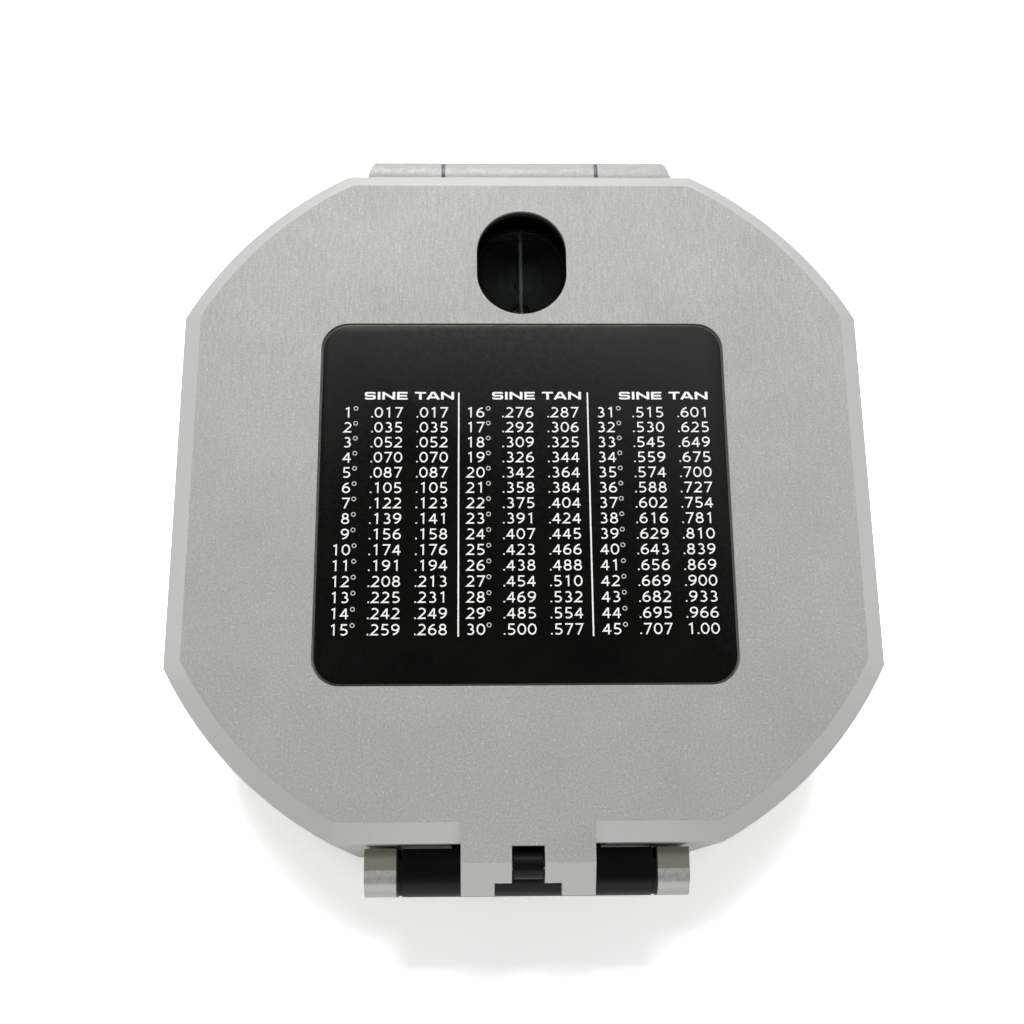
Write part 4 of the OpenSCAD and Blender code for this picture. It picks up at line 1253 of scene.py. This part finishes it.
@dataclass
class AzimuthScale:
    """The graduated ring's marks, one for each degree, numbered against the clock from the hinge."""

    inner: float = 24.4
    tick: tuple[float, float, float] = (0.7, 1.2, 1.7)
    number_r: float = 27.5
    number_h: float = 1.5
    number_stretch: float = 0.86

    def build(self, bench: Bench) -> None:
        """Makes the marks and the numbers."""
        z = node_corner("azimuth_ring")[1][2]
        angles = np.arange(360)
        length = tick_lengths(angles, *self.tick)
        marks = Scale(z).marks(np.radians(angles), self.inner, self.inner + length)
        figures = StrokeType(DIAL_WEIGHT)
        numbers = joined(
            figures.line(f"{value}", self.number_h, self.number_stretch)
            .moved((0, self.number_r, z)).turned(value)
            for value in range(0, 360, 10)
        )
        for name, made in (("azimuth_marks", marks), ("azimuth_numbers", numbers)):
            bench.piece(name, made, Trim("black_print"), Body.AZIMUTH)


@dataclass
class ClinometerScale:
    """The scales on the dial plate: degrees, percent of grade, and the two letters of the compass.

    An angle counts both ways from the sight's end. A grade of p percent is at arctan(p / 100).
    """

    degree_r: tuple[float, float] = (20.4, 21.5)
    percent_r: tuple[float, float] = (17.2, 18.1)
    degree_number_r: float = 19.2
    percent_number_r: float = 16.3
    degree_number_h: float = 1.2
    percent_number_h: float = 0.78
    tick: tuple[float, float, float] = (0.6, 0.85, 1.1)
    percent_tick: tuple[float, float] = (0.55, 0.9)
    number_stretch: float = 0.9
    letter_at: tuple[float, float] = (15.0, 3.4)
    letter_h: float = 2.6
    letter_weight: float = 0.17
    letter_stretch: float = 0.95

    def number(self, figures: StrokeType, text: str, height: float, radius: float, angle: float) -> Surface:
        """Sets a number that stands on the scale, seen from the middle.

        Args:
            figures: The type.
            text: The number.
            height: Its height.
            radius: How far it is from the middle.
            angle: Its angle from the sight's end, in degrees.

        Returns:
            Its surface, at the height of the origin.
        """
        set_line = figures.line(text, height, self.number_stretch)
        return set_line.turned(180).moved((0, -radius, 0)).turned(angle)

    def build(self, bench: Bench) -> None:
        """Prints the plate."""
        z = node_corner("dial_plate")[1][2]
        figures = StrokeType(DIAL_WEIGHT)
        scale = Scale(z, 0.09)
        whole = np.arange(-90, 91)
        inner = self.degree_r[1] - tick_lengths(whole, *self.tick)
        percents = np.arange(-100, 101, 5)
        grades = np.degrees(np.arctan(percents / 100))
        outer = self.percent_r[0] + np.where(percents % 10 == 0, self.percent_tick[1], self.percent_tick[0])
        marks = joined([
            scale.marks(np.radians(whole - 90.0), inner, self.degree_r[1]),
            scale.marks(np.radians(grades - 90.0), self.percent_r[0], outer),
        ])
        numbered = [
            (f"{abs(value)}", self.degree_number_h, self.degree_number_r, float(value))
            for value in range(-90, 91, 10)
        ] + [
            (f"{percent}", self.percent_number_h, self.percent_number_r, side * degrees(atan(percent / 100)))
            for percent in (10, 20, 30, 50, 70, 100) for side in (-1, 1)
        ]
        numbers = joined(self.number(figures, *each) for each in numbered).moved((0, 0, z))
        capitals = StrokeType(self.letter_weight)
        letters = joined(
            capitals.line(letter, self.letter_h, self.letter_stretch)
            .moved((side * self.letter_at[0], self.letter_at[1], z))
            for letter, side in (("E", -1), ("W", 1))
        )
        for name, made in (
            ("clinometer_marks", marks), ("clinometer_numbers", numbers), ("dial_letters", letters),
        ):
            bench.piece(name, made, Trim("black_print"), Body.CASE)


@dataclass
class Clinometer:
    """What is printed on the turning arm: the vernier's marks and the rings on the vial."""

    inner: float = 21.5
    step: float = 11 / 6
    sides: int = 6
    tick: tuple[float, float] = (0.65, 0.95)
    number_r: float = 22.85
    number_h: float = 0.62
    number_stretch: float = 0.9
    vial_y: float = -9.0
    vial_z: float = 10.4
    vial_r: float = 2.5
    ring_x: float = 3.0
    ring_w: float = 0.16
    ring_half_span: float = 62.0

    def build(self, bench: Bench) -> None:
        """Makes the marks, their numbers and the rings."""
        z = node_corner("vernier_arm")[1][2]
        places = np.arange(-self.sides, self.sides + 1)
        length = np.where(places % 3 == 0, self.tick[1], self.tick[0])
        marks = Scale(z, 0.08).marks(np.radians(places * self.step - 90), self.inner, self.inner + length)
        figures = StrokeType(DIAL_WEIGHT)
        numbers = joined(
            figures.line(f"{abs(place) * 10}", self.number_h, self.number_stretch).turned(180)
            .moved((0, -self.number_r, z)).turned(place * self.step)
            for place in (-6, -3, 0, 3, 6)
        )
        made = joined([marks, numbers, self.rings()])
        bench.piece("vernier_marks", made, Trim("black_print"), Body.CLINOMETER)

    def rings(self) -> Surface:
        """Draws a ring round the upper side of the vial on each side of its middle."""
        half = self.ring_w / 2
        low, top = self.vial_r - 0.01, self.vial_r + 0.015
        section = [(low, -half), (top, -half), (top, half), (low, half)]
        span = np.radians(np.linspace(180 - self.ring_half_span, 180 + self.ring_half_span, 24))
        ring = capped(swept(section, span)).turned(90, "Y")
        return joined(ring.moved((side * self.ring_x, self.vial_y, self.vial_z)) for side in (-1, 1))


@dataclass
class RoundLevel:
    """The black ring on the domed lens of the round level."""

    at_y: float = 17.0
    radius: float = 3.0
    width: float = 0.14
    sink: float = 0.03
    rise: float = 0.02
    dome_r: float = 18.0

    def build(self, bench: Bench) -> None:
        """Makes the ring, which follows the dome: z = top - R (1 - cos(asin(r / R)))."""
        top = node_corner("bullseye_lens")[1][2]
        inner, outer = self.radius - self.width / 2, self.radius + self.width / 2
        high = [top - self.dome_r * (1 - cos(asin(r / self.dome_r))) for r in (inner, outer)]
        section = [
            (inner, high[0] - self.sink), (outer, high[1] - self.sink),
            (outer, high[1] + self.rise), (inner, high[0] + self.rise),
        ]
        made = lathe(section, 64).moved((0, self.at_y, 0))
        bench.piece("level_ring", made, Trim("black_print"), Body.CASE)


@dataclass
class NeedleTip:
    """The white paint on the needle's north end."""

    inset: float = 0.12
    half: float = 1.6
    long: float = 6.0
    paint: float = 0.03
    sink: float = 0.02

    def build(self, bench: Bench) -> None:
        """Makes the paint, a triangle on the arrowhead."""
        high = node_corner("needle_blade")[1]
        shape = np.array([
            (0.0, high[1] - 4 * self.inset),
            (-self.half + 1.5 * self.inset, high[1] - self.long + self.inset),
            (self.half - 1.5 * self.inset, high[1] - self.long + self.inset),
        ])
        loops = [at_height(shape, high[2] + rise) for rise in (-self.sink, self.paint)]
        made = stack(np.array(loops))
        bench.piece("needle_north_paint", made, Trim("needle_white"), Body.NEEDLE)


@dataclass(frozen=True)
class SoftBox:
    """A square lamp that faces the object.

    Its place and its side are in millimetres and its power in watts. Shiny surfaces show it or not.
    """

    name: str
    at: Point
    size: float
    power: float
    shines: bool = True

    def hang(self) -> None:
        """Hangs the lamp."""
        lamp = bpy.data.lights.new(self.name, "AREA")
        lamp.shape = "SQUARE"
        lamp.size = self.size * MM
        lamp.energy = self.power
        made = bpy.data.objects.new(self.name, lamp)
        made.location = Vector(self.at) * MM
        made.rotation_mode = "QUATERNION"
        made.rotation_quaternion = (-Vector(self.at)).to_track_quat("-Z", "Y")
        made.visible_glossy = self.shines
        bpy.context.scene.collection.objects.link(made)


@dataclass
class Studio:
    """The pale floor, the soft lights and the camera."""

    camera_at: Point = (-4.26, -41.73, 163.41)
    tilt: float = -0.287
    swing: float = 0.023
    roll: float = 0.009
    focal_px: float = 1354.3
    frame_px: float = 1024.0
    sensor: float = 36.0
    floor_half: float = 3000.0
    floor_gain: float = 2.4
    floor_colour: Colour = srgb(238, 238, 238)
    dark_towards: Point = (0.0, -0.25, 0.97)
    dome_range: tuple[float, float, float, float] = (0.745, 0.45, 0.03, 1.08)
    even_light: tuple[float, float] = (0.09, 0.69)
    sky_grey: float = 0.8
    lamps: tuple[SoftBox, ...] = (
        SoftBox("overhead", (-20, 190, 620), 140, 2.5, shines=False),
        SoftBox("key", (-60, 620, 330), 360, 1.3),
        SoftBox("fill_west", (-560, -40, 300), 360, 0.24),
        SoftBox("fill_east", (560, -40, 300), 360, 0.24),
        SoftBox("fill_south", (0, -560, 260), 360, 0.36),
    )

    def camera(self) -> None:
        """Stands the camera where the photographer's stood.

        The three turns take the world into the camera's frame, so the camera itself takes their inverse.
        """
        lens = bpy.data.cameras.new("camera")
        lens.sensor_width = self.sensor
        lens.lens = self.sensor * self.focal_px / self.frame_px
        lens.clip_start = 0.001
        made = bpy.data.objects.new("camera", lens)
        bpy.context.scene.collection.objects.link(made)
        into = (
            Matrix.Rotation(self.roll, 4, "Z") @ Matrix.Rotation(self.tilt, 4, "X")
            @ Matrix.Rotation(self.swing, 4, "Y")
        )
        made.matrix_world = Matrix.Translation(Vector(self.camera_at) * MM) @ into.transposed()
        bpy.context.scene.camera = made

    def floor(self) -> None:
        """Lays a pale floor that looks white, keeps the object's shadow and is clear from below."""
        side = self.floor_half
        corners = np.array([(-side, -side, 0), (side, -side, 0), (side, side, 0), (-side, side, 0)])
        mesh = bpy.data.meshes.new("floor")
        mesh.from_pydata((corners * MM).tolist(), [], [(0, 1, 2, 3)])
        g = Graph("floor")
        g.set(Base_Color=self.floor_colour, Roughness=0.9, Specular_IOR_Level=0.1)
        shown = g.node("ShaderNodeBsdfDiffuse", Color=(self.floor_gain,) * 3 + (1.0,))
        by_camera = g.node("ShaderNodeLightPath").outputs["Is Camera Ray"]
        lit = g.node(
            "ShaderNodeMixShader", i0=by_camera, i1=g.shader.outputs["BSDF"], i2=shown.outputs["BSDF"],
        )
        behind = g.node("ShaderNodeNewGeometry").outputs["Backfacing"]
        clear = g.node("ShaderNodeBsdfTransparent").outputs["BSDF"]
        seen = g.node("ShaderNodeMixShader", i0=behind, i1=lit.outputs["Shader"], i2=clear)
        g.link(seen.outputs["Shader"], g.output.inputs["Surface"])
        mesh.materials.append(g.material)
        made = bpy.data.objects.new("floor", mesh)
        bpy.context.scene.collection.objects.link(made)

    def world(self) -> None:
        """Surrounds the scene with white that darkens overhead, where the camera and its operator are.

        Shiny surfaces see that dome, the camera sees plain white, and the rest gets even light
        that is stronger from the hinge's side.
        """
        world = bpy.data.worlds.new("studio")
        bpy.context.scene.world = world
        world.use_nodes = True
        t = Tree(world.node_tree)
        path = t.node("ShaderNodeLightPath").outputs
        direction = t.node("ShaderNodeTexCoord").outputs["Generated"]
        overhead = t.node(
            "ShaderNodeVectorMath", {"operation": "DOT_PRODUCT"}, i0=direction, i1=self.dark_towards,
        )
        dome = t.span(overhead.outputs["Value"], *self.dome_range)
        north = t.node("ShaderNodeSeparateXYZ", Vector=direction).outputs["Y"]
        even = t.span(north, -1.0, 1.0, *self.even_light)
        shone = t.maths("MINIMUM", path["Glossy Depth"], 1.0)
        scattered = t.maths("MINIMUM", path["Diffuse Depth"], 1.0)
        straight = t.maths("SUBTRACT", 1.0, t.maths("MAXIMUM", shone, scattered))
        through = t.product(path["Is Transmission Ray"], straight)
        seen = t.maths("MAXIMUM", path["Is Camera Ray"], through)
        mirrored = t.maths("MAXIMUM", path["Is Glossy Ray"], t.product(path["Is Transmission Ray"], shone))
        light = t.node("ShaderNodeMix", {"data_type": "FLOAT"}, i0=mirrored, i2=even, i3=dome).outputs[0]
        white = 1.0 / self.sky_grey
        strength = t.node("ShaderNodeMix", {"data_type": "FLOAT"}, i0=seen, i2=light, i3=white).outputs[0]
        sky = t.node("ShaderNodeBackground", Color=(self.sky_grey,) * 3 + (1.0,), Strength=strength)
        output = t.node("ShaderNodeOutputWorld")
        t.link(sky.outputs[0], output.inputs["Surface"])

    def build(self) -> None:
        """Sets the stage."""
        self.camera()
        self.floor()
        self.world()
        for lamp in self.lamps:
            lamp.hang()
        bpy.context.scene.view_settings.view_transform = "Standard"


PLAIN_PARTS = {
    "steel": (
        "lid_hinge_pin sight_pin ring_snap_wire index_pin dial_plate_screws lever_bracket lever_fulcrum_pin "
        "lever_screw clinometer_spring_washer pivot_post lift_pin small_sight_pin tip_pin"
    ),
    "satin_black": "sight_washers bezel_ring mirror_ring",
    "clear_glass": "dial_glass bullseye_lens vial_glass",
    "rubber_black": "glass_gasket",
    "dial_ground": "dial_plate",
    "brass": (
        "bullseye_cup pinion_bushing clinometer_shaft vial_holder "
        "needle_hub declination_pinion lift_lever"
    ),
    "level_spirit": "bullseye_liquid vial_liquid",
    "dial_enamel": "vernier_arm azimuth_ring",
    "plug_white": "vial_plugs",
    "copper": "damping_disc needle_balance",
    "ruby": "needle_jewel",
    "blued_steel": "needle_blade",
    "magnet_steel": "needle_magnet",
    "shade_tinted_pane": "mirror",
}


def main() -> None:
    """Builds every sub-assembly in order and reports each piece."""
    logging.basicConfig(level=logging.INFO, format="%(name)s %(message)s")
    Studio().build()
    bench = Bench(Shop())
    bench.paint(PLAIN_PARTS)
    for assembly in (
        Shells(), HingeWashers(), Sights(), TablePlate(), LidGlass(),
        AzimuthScale(), ClinometerScale(), Clinometer(), RoundLevel(), NeedleTip(),
    ):
        assembly.build(bench)
    log.info("%d new pieces", bench.count)


if __name__ == "__main__":
    main()
